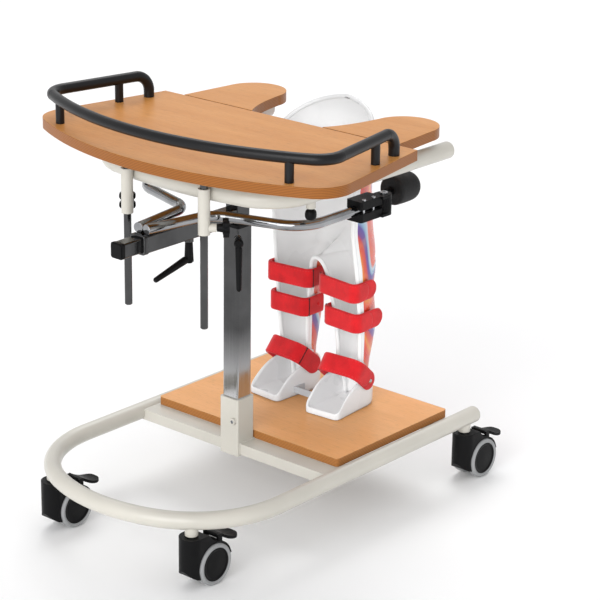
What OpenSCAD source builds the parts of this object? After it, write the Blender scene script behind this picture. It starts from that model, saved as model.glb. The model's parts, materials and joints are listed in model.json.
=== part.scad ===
// Child's standing frame: a U-shaped castor base with a foot plate, a telescopic column,
// a sliding bow with side bolsters, a tray table with a grab rail, and a moulded standing
// shell with leg straps. Millimetres. +Z is up and -Y is the front. The origin lies on the
// floor under the middle of the frame.

/* [Base] */
// Outside diameter of the base tube and of the table tube
tube_d = 30; // [28:0.5:32]
// Wall of the round tubes
tube_wall = 2; // [1.5:0.5:2.5]
// From the middle of the base to the axis of a leg
base_half = 227; // [220:1:240]
// From the column axis forward to the front of the bend
base_front = 340; // [330:1:360]
// From the column axis back to the ends of the legs
base_back = 388; // [380:1:400]
// Radius of the front bend
base_front_r = 300; // [290:5:330]
// Radius of the two corner bends
base_corner_r = 185; // [170:5:195]
// Gap between the wheel tops and the base tube
caster_rise = 32; // [30:0.5:36]

/* [Foot plate] */
// Thickness of the foot plate
plate_t = 15; // [12:1:18]
// Length of the foot plate, front to back
plate_l = 306; // [280:1:330]
// From the column axis back to the front edge of the plate
plate_front = 22; // [22:1:30]
// Height of the two cross bars
bar_h = 20; // [18:1:22]
// Width of the front cross bar
front_bar_w = 56; // [50:1:60]
// Width of the rear cross bar
rear_bar_w = 30; // [25:1:40]
// Height of the bars' tops above the axis of the base tube
bar_rise = 8; // [6:0.5:10]

/* [Castors] */
// Diameter of the wheels
wheel_d = 72; // [68:1:74]
// Width over a pair of wheels
caster_w = 50; // [48:1:54]
// Width of the hood between the wheels
hood_w = 42; // [40:1:44]
// Wall of the hood
hood_wall = 2.5; // [2:0.5:3]
// Thickness of the tread
tread_t = 7; // [5:0.5:8]
// From the swivel stem back to the axle
trail = 34; // [30:1:36]
// Diameter of the swivel stem
stem_d = 10; // [8:0.5:11]
// Place of the front castors along the corner bends, in degrees from straight ahead
front_caster_a = 41; // [35:1:48]
// From the leg ends forward to the rear castors
rear_caster_in = 26; // [22:1:40]
// From the swivel stem back to the tip of the brake pedal
pedal_reach = 98; // [94:1:104]

/* [Column] */
// Width of the square outer column
column_w = 35; // [34:0.5:38]
// Wall of the outer column and of the mast
column_wall = 2; // [1.5:0.5:2.5]
// Height of the top of the outer column
column_top = 519; // [494:1:519]
// Width of the socket at the foot of the column
socket_w = 42; // [42:0.5:44]
// Height of the top of the socket
socket_top = 209; // [194:1:234]
// Length of the inner mast
mast_l = 444; // [400:1:460]
// Height of the clamp lever on the column
lever_z = 501; // [464:1:504]
// Length of the column's clamp lever
lever_l = 78; // [70:1:90]

/* [Arm and bow] */
// From the axis of the table tube down to the axis of the fore-and-aft arm
arm_drop = 87; // [74:1:87]
// Width of the square arm
arm_w = 25; // [22:0.5:26]
// From the column axis forward to the front of the arm tube
arm_l = 280; // [275:1:300]
// Length of the arm's clamp lever
arm_lever_l = 78; // [65:1:84]
// Wall of the sleeve that slides on the arm
sleeve_wall = 2.4; // [2:0.2:3]
// Length of that sleeve
sleeve_l = 170; // [150:1:175]
// From the column axis forward to the front of the sleeve
sleeve_front = 240; // [235:1:243]
// Diameter of the bow tubes
bow_d = 18; // [16:0.5:19]
// From the middle to the side runs of the bow
bow_half = 188; // [180:1:195]
// From the column axis forward to the corner where the bow turns out
bow_kink = 95; // [90:1:105]
// Splay of the two runs along the sleeve, in degrees
bow_splay = 9; // [4:0.5:10]
// Sweep of the bow behind square, in degrees
bow_sweep = 17; // [12:1:20]
// Bend radius at the middle of the bow
bow_mid_r = 45; // [40:1:50]
// Bend radius at the sides of the bow
bow_side_r = 60; // [50:1:65]
// From the column axis back to the ends of the bow
bow_end = 134; // [125:1:145]
// Diameter of the side bolsters
bolster_d = 53; // [46:1:54]
// Length of the side bolsters
bolster_l = 62; // [56:1:72]

/* [Table tube] */
// Height of the axis of the table tube
frame_z = 628; // [624:1:632]
// From the middle to the side runs of the table tube
frame_half = 206; // [200:1:212]
// From the column axis forward to the front of the table tube
frame_front = 155; // [145:1:160]
// Radius of its front bend
frame_front_r = 750; // [650:10:850]
// Radius of its corner bends
frame_corner_r = 80; // [70:1:85]
// From the column axis forward to the seams of the push handles
seam_y = 35; // [30:1:40]
// From the column axis back to the ends of the push handles
handle_end = 308; // [300:1:330]
// Length of the grip at the end of each push handle
grip_l = 100; // [80:1:110]
// From the middle to each table rod
rod_x = 87; // [75:1:95]
// Diameter of the table rods
rod_d = 13; // [12:0.5:14]
// Height of the rod tips
rod_tip_z = 401; // [384:1:414]
// Outside diameter of the rod sleeves
rod_sleeve_d = 20; // [19:0.5:22]
// From the axis of the table tube down to the bottom of the rod sleeves
rod_sleeve_drop = 66; // [54:1:69]
// Length of the rod sleeves
rod_sleeve_l = 77; // [70:1:79]

/* [Table] */
// From the axis of the table tube up to the table surface
table_rise = 53; // [50:1:58]
// Thickness of the boards
board_t = 18; // [16:0.5:19]
// Half width of the board at its back edge
board_half = 286; // [280:1:300]
// How much each side flares towards the front, per millimetre of depth
board_flare = 0.19; // [0.15:0.01:0.22]
// From the column axis back to the back edge of the board
board_back = 121; // [115:1:125]
// From the column axis forward to the front of the board
board_front = 236; // [225:1:245]
// Radius of the front edge
board_front_r = 650; // [600:10:720]
// Radius of the front corners
board_corner_r = 60; // [50:1:70]
// Gap between the board and the wings
wing_gap = 3; // [2:0.5:5]
// Length of the wings, front to back
wing_l = 166; // [150:1:175]
// Radius of the round wing ends
wing_end_r = 58; // [52:1:60]
// From the middle to the middle of a wing end
wing_x = 173; // [170:1:180]
// From the middle to the inner front corner of a wing
wing_in = 80; // [78:1:90]
// From the middle to the outer front corner of a wing
wing_out = 242; // [238:1:250]

/* [Rail] */
// Diameter of the grab rail
rail_d = 19; // [17:0.5:20]
// Height of the rail axis above the table surface
rail_h = 40; // [36:1:45]
// From the table edge in to the rail axis
rail_inset = 18; // [16:1:22]
// Diameter of the rail posts
post_d = 15; // [13:0.5:16]
// From the column axis back to the side posts
side_post_y = 8; // [0:1:15]
// From the middle to the front posts
front_post_x = 257; // [240:1:260]
// From the column axis back to the rail ends
rail_end_y = 70; // [65:1:80]
// Bend radius at the rail ends
rail_end_r = 28; // [25:1:32]

/* [Standing shell] */
// Height of the shell above the foot plate
shell_h = 556; // [540:1:570]
// Wall of the shell
shell_wall = 6; // [5:0.5:6.5]
// From the middle to the axis of a leg channel
leg_x = 62; // [62:0.5:66]
// Length of the foot troughs
trough_l = 134; // [125:1:140]
// Width of the foot troughs
trough_w = 74; // [74:0.5:78]
// Turn of the feet outwards, in degrees
toe_out = 4; // [0:0.5:4.5]
// Width of the leg straps
strap_w = 36; // [30:1:38]
// Thickness of the leg straps
strap_t = 5; // [4:0.5:6]

/* [Hidden] */
$fn = 64;

// Colours
cream = [0.90, 0.88, 0.82];
chrome = [0.75, 0.77, 0.79];
black = [0.07, 0.07, 0.075];
grey = [0.50, 0.51, 0.53];
beech = [0.87, 0.64, 0.44];
white = [0.95, 0.95, 0.95];
red = [0.86, 0.08, 0.10];
steel = [0.66, 0.67, 0.69];

// Clearances: running fits, pieces that stand on each other, and soft pieces
fit = 0.1;
seat = 0.05;
soft_gap = 0.6;

// Runs between the bends of a tube reach a little into the bends and are a trace thinner
lap = 0.4;
slim = 0.3;

// Heights that follow from the base
tube_r = tube_d/2;
base_z = wheel_d + caster_rise + tube_r;
bar_top = base_z + bar_rise;
plate_top = bar_top + plate_t;
plate_half = base_half - tube_r - 0.5;
plate_back = plate_front + plate_l;
rear_bar_y = plate_back - rear_bar_w - 8;
front_bar_y = -socket_w/2 + 6;

// Heights that follow from the table tube
arm_z = frame_z - arm_drop;
rod_sleeve_z = frame_z - rod_sleeve_drop;
table_top = frame_z + table_rise;

// Castors
wheel_r = wheel_d/2;
hood_gap = 1.5;
cavity_r = wheel_r + hood_gap;
hood_r = cavity_r + hood_wall;
web_w = stem_d + 4;
boss_h = 10;
hood_top = base_z - tube_r - boss_h - 2;
pedal_pivot = [trail + 16, wheel_r + hood_r + 2.5];
ear_t = 4;
ear_in = 13;
base_bend = u_bend_of(base_half, base_front, base_front_r, base_corner_r);
front_caster = [
  base_bend[0] + base_corner_r*sin(front_caster_a),
  base_bend[1] - base_corner_r*cos(front_caster_a)
];
rear_caster = [base_half, base_back - rear_caster_in];

// Column and arm
mast_gap = 0.5;
mast_w = column_w - 2*column_wall - 2*mast_gap;
mast_top = frame_z - bar_h/2;
mast_bottom = mast_top - mast_l;
column_foot = base_z - tube_r + 4;
glide_h = 6;
corner_r = 3;
lever_stand = (column_w/2 - corner_r)*sqrt(2) + corner_r;
sleeve_w = arm_w + 2*fit + 2*sleeve_wall;
arm_lever_y = -(sleeve_front - sleeve_l*0.71);
bow_z = arm_z + sleeve_w/2 + bow_d/2 + seat;
bow_x = bow_d/2 + 0.2;
bow_front = sleeve_front - 12;

// Clamps at the ends of the bow
clamp_w = 34;
clamp_h = 36;
clamp_front = bow_end - 54;
clamp_split = 7;
drum_x = bow_half + 8;
drum_y = bow_end + 15;
drum_r = 13.5;
drum_h = 26;
pivot_r = 4;
fork_t = (clamp_h - drum_h)/2 - 0.3;
pad_in = 37;
pad_back = 66;
crank = [drum_x - pad_in, drum_y + pad_back - 9];
clamp_screw_y = [clamp_front + 11, clamp_front + 36];

// Table tube, sleeves and rods
lug_clear = 23;
frame_bend = u_bend_of(frame_half, frame_front, frame_front_r, frame_corner_r);
rod_y = -frame_front + frame_front_r - sqrt(pow(frame_front_r, 2) - pow(rod_x, 2))
        - tube_r - rod_sleeve_d/2 - seat;
knob_z = rod_sleeve_z + 11;
knob_a = 45;
boss_end = 20;
seam_at = max(-seam_y, frame_bend[1] + lug_clear);
lug_y = seam_at - 16;
board_z = table_top - board_t;
flange_t = 4;
flange_r = 22;

// Table outline: the side line, the front arc and the corner arcs that join them
side_len = sqrt(1 + pow(board_flare, 2));
side_dir = [board_flare, -1]/side_len;
side_in = [-1, -board_flare]/side_len;
board_corner = [board_half, board_back];
front_c = [0, board_front_r - board_front];
corner_d = board_corner + board_corner_r*side_in - front_c;
corner_t = -corner_d*side_dir
           + sqrt(pow(corner_d*side_dir, 2) - corner_d*corner_d + pow(board_front_r - board_corner_r, 2));
corner_c = front_c + corner_d + corner_t*side_dir;
corner_a0 = atan(board_flare);
corner_a1 = atan2(corner_c[1] - front_c[1], corner_c[0]);
rail_z = table_top + rail_h;
rail_side = board_corner + rail_inset*side_in;
side_post = [rail_x(side_post_y), side_post_y];
rail_end = [rail_x(rail_end_y), rail_end_y];
front_post = [
  front_post_x,
  front_c[1] - sqrt(pow(board_front_r - rail_inset, 2) - pow(front_post_x, 2))
];
wing_y = board_back + wing_gap;
wing_c = [wing_x, wing_y + wing_l - wing_end_r];
plate_x = [118, 212];
wing_plate = [30, 80, 3];
screw_d = 4;
screw_l = 12;
rail_screw_d = 5;

// Standing shell: heights are measured from the foot plate
crotch_from = 0.405*shell_h;
crotch_to = 0.62*shell_h;
shell_foot = 8.4;
foot_axis_y = 240;
trough_wall = 4.5;
trough_sole = 8;
trough_rise = 56;
thigh_h = 226;
knee_h = 168;
ankle_h = 62;
ankle_tilt = 40;
strap_bulge = 13;
strap_spare = 6;
strap_corner = 17;
strap_wrap = 34;
rivet_r = 4;
spacer_h = 12;
spacer_y = 186;

// Shift that brings the middle of the frame over the origin
rear_reach = rear_caster[1] + pedal_reach;
frame_y = (base_front + tube_r - rear_reach)/2;

// Centre and half angle of a bend: [x, y, angle] of the corner arc that joins a side run to the front arc
function u_bend_of(half, front, front_r, corner) =
  let (cx = half - corner, dy = sqrt(pow(front_r - corner, 2) - pow(cx, 2)))
  [cx, front_r - front - dy, atan2(cx, dy)];

// Points along an arc
function arc(c, r, a0, a1, n) = [for (i = [0:n]) let (a = a0 + (a1 - a0)*i/n) c + r*[cos(a), sin(a)]];

// Points of a rectangle with round corners, centred
function round_rect(w, h, r, n = 5) = concat(
  arc([w/2 - r, h/2 - r], r, 0, 90, n), arc([r - w/2, h/2 - r], r, 90, 180, n),
  arc([r - w/2, r - h/2], r, 180, 270, n), arc([w/2 - r, r - h/2], r, 270, 360, n));

// Points along a quadratic curve
function bezier(a, b, c, n) =
  [for (i = [0:n]) let (t = i/n) (1 - t)*(1 - t)*a + 2*t*(1 - t)*b + t*t*c];

// A point mirrored to the other side
function other(p) = [-p[0], p[1]];

// Where the rail's side run lies at a given y
function rail_x(y) = rail_side[0] + (rail_side[1] - y)*board_flare;

// Smooth step from 0 to 1
function ease(v, v0, v1) = let (t = min(1, max(0, (v - v0)/(v1 - v0)))) t*t*(3 - 2*t);

// Standing shell at a height above the plate: outer half width, channel axis, rim and back
function shell_out(h) = lookup(h/shell_h, [
  [0, 88], [0.12, 87.5], [0.27, 94], [0.39, 93], [0.49, 98], [0.62, 99], [0.8, 104], [1, 106]]);
function shell_axis(h) = leg_x*(1 - ease(h, crotch_from, crotch_to));
function shell_rim(h) = lookup(h/shell_h, [
  [0, 224], [0.27, 222], [0.4, 216], [0.49, 209], [0.8, 208], [1, 204]]);
function shell_back(h) = lookup(h/shell_h, [
  [0, 268], [0.12, 264], [0.27, 284], [0.39, 277], [0.49, 293],
  [0.6, 314], [0.79, 290], [0.93, 272], [1, 262]]);
function shell_open(h) = 84*(1 - sqrt(1 - pow(min(1, max(0, (h/shell_h - 0.80)/0.20)), 2)));

// One slice of the near half of the shell: out along its outside and back along its inside
function shell_slice(h, n) =
  let (cx = shell_axis(h), a = shell_out(h) - cx, cy = shell_rim(h), b = shell_back(h) - cy, w = shell_wall/2)
  let (meet = function (e) acos(max(-1, (-0.2 - cx)/e)))
  let (a0 = shell_open(h), ao = meet(a + w), ai = meet(a - w))
  concat(
    [for (i = [0:n]) let (t = a0 + (ao - a0)*i/n)
      [cx + (a + w)*cos(t), cy + (b + w)*sin(t), plate_top + h]],
    [for (i = [n:-1:0]) let (t = a0 + (ai - a0)*i/n)
      [cx + (a - w)*cos(t), cy + (b - w)*sin(t), plate_top + h]]);

// Reach of a leg channel to the inside and to the outside
function leg_in(h) = 2*shell_axis(h) - shell_out(h) - shell_wall/2;
function leg_out(h) = shell_out(h) + shell_wall/2;

module in_frame() {
  translate([0, frame_y, 0]) children();
}

// A pair: the near side and its mirror image
module both_sides() {
  children();
  mirror([1, 0, 0]) children();
}

// A level round bar between two points seen from above, at height z
module bar_level(p, q, z, d) {
  v = q - p;
  translate([p[0], p[1], z]) rotate([0, 90, atan2(v[1], v[0])]) cylinder(d = d, h = norm(v));
}

// A level bend round the vertical axis at c, from angle a0 on through da
module level_bend(c, r, a0, da, d) {
  steps = r > 150 ? 360 : 72;
  translate(c) rotate([0, 0, a0]) rotate_extrude(angle = da, $fn = steps)
    translate([r, 0]) circle(d = d, $fn = 48);
}

// A shallow bend that joins two tighter ones, half its angle to each side of the front
module front_bend(c, r, half, d) {
  reach = half + lap/r*180/PI;
  level_bend(c, r, -90 - reach, 2*reach, d - slim);
}

// The two corner bends and the front bend of a U-shaped tube at height z
module u_bend(bend, front, front_r, corner, d, z) {
  both_sides() level_bend([bend[0], bend[1], z], corner, bend[2] - 90, 90 - bend[2], d);
  front_bend([0, front_r - front, z], front_r, bend[2], d);
}

// A round bar along Y
module bar_y(x, y0, y1, z, d) {
  translate([x, y0, z]) rotate([-90, 0, 0]) cylinder(d = d, h = y1 - y0);
}

// A square tube standing on its end
module square_tube(w, wall, l) {
  linear_extrude(l) difference() {
    polygon(round_rect(w, w, corner_r));
    polygon(round_rect(w - 2*wall, w - 2*wall, max(0.6, corner_r - wall)));
  }
}

// A square tube along Y
module square_tube_y(w, wall, y0, y1, z) {
  translate([0, y0, z]) rotate([-90, 0, 0]) square_tube(w, wall, y1 - y0);
}

module base_path(d, extra) {
  u_bend(base_bend, base_front, base_front_r, base_corner_r, d, base_z);
  both_sides() bar_y(base_half, base_bend[1] - lap, base_back + extra, base_z, d - slim);
}

// The four castor places: front left, front right, rear left, rear right
module at_casters() {
  both_sides() {
    translate(front_caster) children();
    translate(rear_caster) children();
  }
}

module base_tube() {
  color(cream) difference() {
    union() {
      base_path(tube_d, 0);
      at_casters() translate([0, 0, base_z - tube_r - boss_h]) cylinder(d = stem_d + 12, h = boss_h + tube_r);
    }
    base_path(tube_d - 2*tube_wall, 1);
    at_casters() translate([0, 0, base_z - tube_r - boss_h - 1])
      cylinder(d = stem_d + 2*seat, h = boss_h + tube_r);
  }
}

// A closed end for a round tube: a domed disc and the plug behind it, along +Y
module tube_plug() {
  plug_r = tube_r - tube_wall - slim/2 - seat;
  rotate([-90, 0, 0]) rotate_extrude() polygon(concat(
    [[0, -14], [plug_r, -14], [plug_r, seat]],
    arc([tube_r - 3.3, 0.5], 3, 0, 90, 6), [[0, 3.5]]));
}

module base_end_caps() {
  color(cream) both_sides() translate([base_half, base_back, base_z]) tube_plug();
}

// Places of the four screws that hold the foot plate
module at_plate_screws() {
  for (x = [-plate_half*0.7, plate_half*0.7]) {
    translate([x, plate_front + 9, bar_top - bar_h]) children();
    translate([x, rear_bar_y + rear_bar_w/2, bar_top - bar_h]) children();
  }
}

module cross_bar(y, w) {
  difference() {
    translate([-base_half, y, bar_top - bar_h]) cube([2*base_half, w, bar_h]);
    translate([-base_half - 1, y + 2, bar_top - bar_h + 2]) cube([2*base_half + 2, w - 4, bar_h - 4]);
    both_sides() bar_y(base_half, y - 1, y + w + 1, base_z, tube_d + 2*seat);
    at_plate_screws() translate([0, 0, -1]) cylinder(d = screw_d + 2*seat, h = bar_h + 2);
  }
}

module cross_bars() {
  socket_hole = socket_w + 2*seat;
  color(cream) {
    difference() {
      cross_bar(front_bar_y, front_bar_w);
      translate([-socket_hole/2, -socket_hole/2, 0]) cube([socket_hole, socket_hole, base_z*2]);
    }
    cross_bar(rear_bar_y, rear_bar_w);
  }
}

// The two clamp screws of the socket, one on the left and one at the near front edge
module at_socket_screws() {
  translate([-socket_w/2, 0, socket_top - 32]) rotate([0, -90, 0]) children();
  translate([socket_w/2 - 9, -socket_w/2, socket_top - 40]) rotate([90, 0, 0]) children();
}

module column_socket() {
  foot = base_z - tube_r;
  color(cream) difference() {
    union() {
      translate([0, 0, foot]) linear_extrude(socket_top - foot)
        polygon(round_rect(socket_w, socket_w, corner_r));
      at_socket_screws() translate([0, 0, -1]) cylinder(d = 12, h = 6);
    }
    translate([0, 0, column_foot - seat]) linear_extrude(socket_top)
      polygon(round_rect(column_w + 2*fit, column_w + 2*fit, corner_r));
    at_socket_screws() translate([0, 0, -socket_w/2 + column_w/2 - 1]) cylinder(d = 6 + 2*seat, h = 12);
  }
}

module base_screws() {
  shank = bar_h + plate_t - 3;
  color(steel) {
    at_plate_screws() {
      translate([0, 0, -2.6]) cylinder(d = 9, h = 2.6 - seat);
      translate([0, 0, -2.6]) cylinder(d = screw_d, h = 2.6 + shank);
    }
    at_socket_screws() difference() {
      translate([0, 0, -3]) cylinder(d = 6, h = 8.4);
      translate([0, 0, 3]) cylinder(d = 3.5, h = 3, $fn = 6);
    }
  }
}

// The corner of the column where the clamp screw sits: X points out of the near front edge
module at_column_lever() {
  translate([0, 0, lever_z]) rotate([0, 0, -45]) children();
}

module outer_column() {
  color(chrome) difference() {
    union() {
      translate([0, 0, column_foot]) square_tube(column_w, column_wall, column_top - column_foot);
      at_column_lever() translate([lever_stand - 4, 0, 0]) rotate([0, 90, 0]) cylinder(d = 14, h = 10);
    }
    at_column_lever() translate([lever_stand - 9, 0, 0]) rotate([0, 90, 0]) cylinder(d = 6 + 2*fit, h = 20);
    translate([0, 0, column_foot - 1]) linear_extrude(column_top)
      polygon(round_rect(column_w - 2*column_wall, column_w - 2*column_wall, 1));
  }
}

module column_glide() {
  inside = mast_w + 2*fit;
  color(black) translate([0, 0, column_top]) linear_extrude(glide_h) difference() {
    polygon(round_rect(column_w + 2, column_w + 2, corner_r + 1));
    polygon(round_rect(inside, inside, corner_r));
  }
}

module foot_plate() {
  w = 2*plate_half;
  color(beech) difference() {
    translate([0, plate_front + plate_l/2, bar_top])
      linear_extrude(plate_t) polygon(round_rect(w, plate_l, 6));
    at_plate_screws() cylinder(d = screw_d + 2*seat, h = bar_h + plate_t - 2);
  }
}

module caster_stems() {
  color(steel) at_casters() translate([0, 0, hood_top - 28]) {
    cylinder(d = stem_d, h = base_z - 2 - hood_top + 28);
  }
}

// The standing shell's near half, lofted through its slices
module half_shell(n) {
  step = concat([for (i = [0:16]) 0.8*i/16], [for (i = [1:6]) 0.8 + 0.2*sin(15*i)]);
  heights = [for (s = step) shell_foot + (shell_h - shell_foot)*s];
  slices = [for (h = heights) shell_slice(h, n)];
  m = 2*n + 2;
  points = [for (s = slices) for (p = s) p];
  last = (len(heights) - 1)*m;
  sides = [for (k = [0:len(heights) - 2]) for (i = [0:m - 1])
    let (a = k*m + i, b = k*m + (i + 1) % m) each [[a, a + m, b + m], [a, b + m, b]]];
  ends = [for (i = [0:n - 1]) each [
    [i, i + 1, m - 2 - i], [i, m - 2 - i, m - 1 - i],
    [last + i, last + m - 2 - i, last + i + 1], [last + i, last + m - 1 - i, last + m - 2 - i]]];
  polyhedron(points, concat(sides, ends));
}

module standing_shell() {
  color(white) both_sides() half_shell(11);
}

// A foot's own place: its axis at the ankle, turned out, with the foot plate at z = 0
module at_foot() {
  translate([leg_x, foot_axis_y, plate_top]) rotate([0, 0, toe_out]) children();
}

// A trough outline seen from above: round heel, toe corners, its back at the heel
module trough_outline(inset) {
  w = trough_w/2 - inset;
  back = 38 - inset;
  front = back + inset*2 - trough_l;
  polygon(concat(
    arc([0, back - w], w, 0, 180, 24),
    arc([8 - w, front + 8], 8, 180, 270, 5),
    arc([w - 8, front + 8], 8, 270, 360, 5)));
}

module foot_trough() {
  toe = 38 - trough_l;
  difference() {
    translate([0, 0, seat]) linear_extrude(trough_rise) trough_outline(0);
    translate([0, 0, trough_sole]) linear_extrude(trough_rise) trough_outline(trough_wall);
    translate([-trough_w, toe - 1, trough_sole + 5]) cube([2*trough_w, trough_wall + 2, trough_rise]);
    rotate([90, 0, 90]) translate([0, 0, -trough_w]) linear_extrude(2*trough_w) polygon(concat(
      bezier([toe - 2, trough_sole + 4], [toe + 8, trough_rise*0.72], [-14, trough_rise + 1], 10),
      [[toe - 2, trough_rise + 1]]));
  }
}

module foot_troughs() {
  color(white) both_sides() at_foot() foot_trough();
}

// A thin bar that keeps the feet apart, bent to the inner wall of each trough
module foot_spacer() {
  half = leg_x - trough_w/2 - 0.4;
  ahead = foot_axis_y - spacer_y;
  reach = half + ahead*tan(toe_out);
  color(grey) translate([0, spacer_y, plate_top + 9]) {
    translate([-reach, -1.5, 0]) cube([2*reach, 3, spacer_h]);
    both_sides() translate([reach, 0, 0]) rotate([0, 0, toe_out])
      translate([-2.4, -1.5, 0]) cube([2.4, 26, spacer_h]);
  }
}

// A strap seen from above: round the front of a channel, with its two ends on the sides
module strap_band(x0, x1, front, back) {
  w = x1 - x0;
  r = strap_corner;
  c = (x0 + x1)/2;
  depth = back - front;
  translate([c, front + depth/2]) difference() {
    polygon(round_rect(w + 2*strap_t, depth + 2*strap_t, r + strap_t));
    polygon(round_rect(w, depth, r));
    translate([-w, depth/2 - r - strap_t]) square([2*w, depth]);
  }
}

// The strap's side view, with round ends at the back
module strap_side(front, back) {
  r = strap_w/2 - 0.5;
  translate([-300, 0, 0]) rotate([90, 0, 90]) linear_extrude(600) polygon(concat(
    [[front, -strap_w/2], [back - r, -strap_w/2]],
    arc([back - r, 0], strap_w/2, -90, 90, 12),
    [[front, strap_w/2]]));
}

// Inner face of a level strap, with room for the flat steps of the channel's wall
function strap_in(h) = min(leg_in(h - strap_w/2), leg_in(h + strap_w/2 + strap_spare)) - soft_gap;

module leg_strap(h) {
  x0 = strap_in(h);
  x1 = max(leg_out(h - strap_w/2), leg_out(h + strap_w/2)) + soft_gap;
  front = shell_rim(h) - strap_bulge;
  back = shell_rim(h) + strap_wrap + strap_corner + strap_t;
  translate([0, 0, plate_top + h]) intersection() {
    translate([0, 0, -strap_w/2]) linear_extrude(strap_w) strap_band(x0, x1, front, back);
    strap_side(front - 50, shell_rim(h) + strap_wrap);
  }
}

// The ankle strap slants over the instep and down to the heel, outside the trough
module ankle_strap() {
  half = trough_w/2 + soft_gap;
  translate([0, -17, ankle_h]) rotate([-ankle_tilt, 0, 0]) intersection() {
    translate([0, 0, -strap_w/2]) linear_extrude(strap_w)
      strap_band(-half, half, -32, 30 + strap_corner + strap_t);
    strap_side(-80, 32);
  }
}

module leg_straps() {
  color(red) both_sides() {
    leg_strap(thigh_h);
    leg_strap(knee_h);
    at_foot() ankle_strap();
  }
}

// A rivet head on the fixed end of a strap, along +X
module rivet() {
  rotate([0, 90, 0])
    rotate_extrude() polygon([[0, 0], [rivet_r, 0], [rivet_r, 1], [rivet_r - 1.2, 2], [0, 2]]);
}

module strap_rivets() {
  color(steel) both_sides() {
    for (h = [thigh_h, knee_h]) {
      x = strap_in(h) - strap_t - seat;
      translate([x, shell_rim(h) + strap_wrap - 16, plate_top + h]) mirror([1, 0, 0]) rivet();
    }
    at_foot() translate([0, -17, ankle_h]) rotate([-ankle_tilt, 0, 0])
      translate([trough_w/2 + soft_gap + strap_t + seat, 16, 0]) rivet();
  }
}

module inner_mast() {
  color(chrome) translate([0, 0, mast_bottom]) square_tube(mast_w, column_wall, mast_l);
}

// The plastic foot that guides the mast inside the column
module mast_foot() {
  w = column_w - 2*column_wall - 2*fit;
  plug = mast_w - 2*column_wall - 2*seat;
  color(black) translate([0, 0, mast_bottom]) {
    translate([0, 0, -16]) linear_extrude(16) polygon(round_rect(w, w, 1.5));
    linear_extrude(14) polygon(round_rect(plug, plug, 1));
  }
}

module arm_rail() {
  color(chrome) square_tube_y(arm_w, column_wall, -arm_l, -mast_w/2, arm_z);
}

module arm_cap() {
  plug = arm_w - 2*column_wall - 2*seat;
  color(black) translate([0, -arm_l, arm_z]) rotate([90, 0, 0]) {
    linear_extrude(6) polygon(round_rect(arm_w + 1.6, arm_w + 1.6, 4));
    translate([0, 0, 6]) linear_extrude(2) polygon(round_rect(arm_w - 2, arm_w - 2, 3));
    translate([0, 0, -14]) linear_extrude(14.5) polygon(round_rect(plug, plug, 1));
  }
}

// The square sleeve that slides on the arm, with the threaded boss of its clamp below
module bow_sleeve() {
  inside = arm_w + 2*fit;
  color(chrome) difference() {
    union() {
      square_tube_y(sleeve_w, sleeve_wall, -sleeve_front, sleeve_l - sleeve_front, arm_z);
      translate([0, arm_lever_y, arm_z - sleeve_w/2 - 8]) cylinder(d = 16, h = 9);
      translate([0, -sleeve_front, arm_z]) rotate([-90, 0, 0]) square_tube(sleeve_w + 2, sleeve_wall + 1, 10);
    }
    translate([0, -sleeve_front - 1, arm_z]) rotate([-90, 0, 0]) linear_extrude(sleeve_l + 2)
      polygon(round_rect(inside, inside, corner_r));
    translate([0, arm_lever_y, arm_z - sleeve_w]) cylinder(d = 6 + 2*fit, h = sleeve_w);
  }
}

// The near half of the bow: along the sleeve, out to the side and back along the shell
module bow_half_path(d, extra) {
  turn = 90 - bow_sweep;
  lead_turn = turn - bow_splay;
  lead = [sin(bow_splay), cos(bow_splay)];
  out = [cos(bow_sweep), sin(bow_sweep)];
  t1 = bow_mid_r*tan(lead_turn/2);
  t2 = bow_side_r*tan(turn/2);
  tip = [bow_x, -bow_front];
  kink = tip + lead*(bow_front - bow_kink)/cos(bow_splay);
  corner = kink + out*(bow_half - kink[0])/cos(bow_sweep);
  s1 = kink - t1*lead;
  c1 = s1 + bow_mid_r*[cos(bow_splay), -sin(bow_splay)];
  e1 = kink + t1*out;
  s2 = corner - t2*out;
  e2 = corner + [0, t2];
  bar_level(tip + 3*extra*lead, s1 + lap*lead, bow_z, d - slim);
  level_bend([c1[0], c1[1], bow_z], bow_mid_r, 180 - bow_splay - lead_turn, lead_turn, d);
  bar_level(e1 - lap*out, s2 + lap*out, bow_z, d - slim);
  level_bend([e2[0] - bow_side_r, e2[1], bow_z], bow_side_r, -turn, turn, d);
  bar_y(bow_half, e2[1] - lap, bow_end + extra, bow_z, d - slim);
}

module bow_tubes() {
  color(chrome) both_sides() difference() {
    bow_half_path(bow_d, 0);
    bow_half_path(bow_d - 2*tube_wall, 1);
  }
}

// Half of a bow clamp, the upper one: a saddle over the tube and a fork plate over the drum
module clamp_half() {
  color(black) difference() {
    union() {
      translate([bow_half, (clamp_front + bow_end)/2 + 1, clamp_split/2])
        linear_extrude(clamp_h/2 - clamp_split/2)
        polygon(round_rect(clamp_w, bow_end - clamp_front + 2, 4));
      translate([drum_x, drum_y, clamp_h/2 - fork_t]) cylinder(r = drum_r, h = fork_t);
      translate([drum_x - drum_r, bow_end - 4, clamp_h/2 - fork_t])
        cube([2*drum_r, drum_y - bow_end + 4, fork_t]);
    }
    bar_y(bow_half, clamp_front - 1, bow_end + 3, 0, bow_d + 2*seat);
    translate([drum_x, drum_y, 0]) cylinder(r = pivot_r + seat, h = clamp_h);
    translate([drum_x, drum_y, -1]) cylinder(r = drum_r + 0.6, h = clamp_h/2 - fork_t + 1);
    for (y = clamp_screw_y) translate([bow_half + clamp_w/2 - 4.5, y, -1])
      cylinder(d = screw_d + 2*seat, h = clamp_h);
  }
}

module clamp_blocks() {
  both_sides() translate([0, 0, bow_z]) {
    clamp_half();
    mirror([0, 0, 1]) clamp_half();
  }
}

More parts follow.
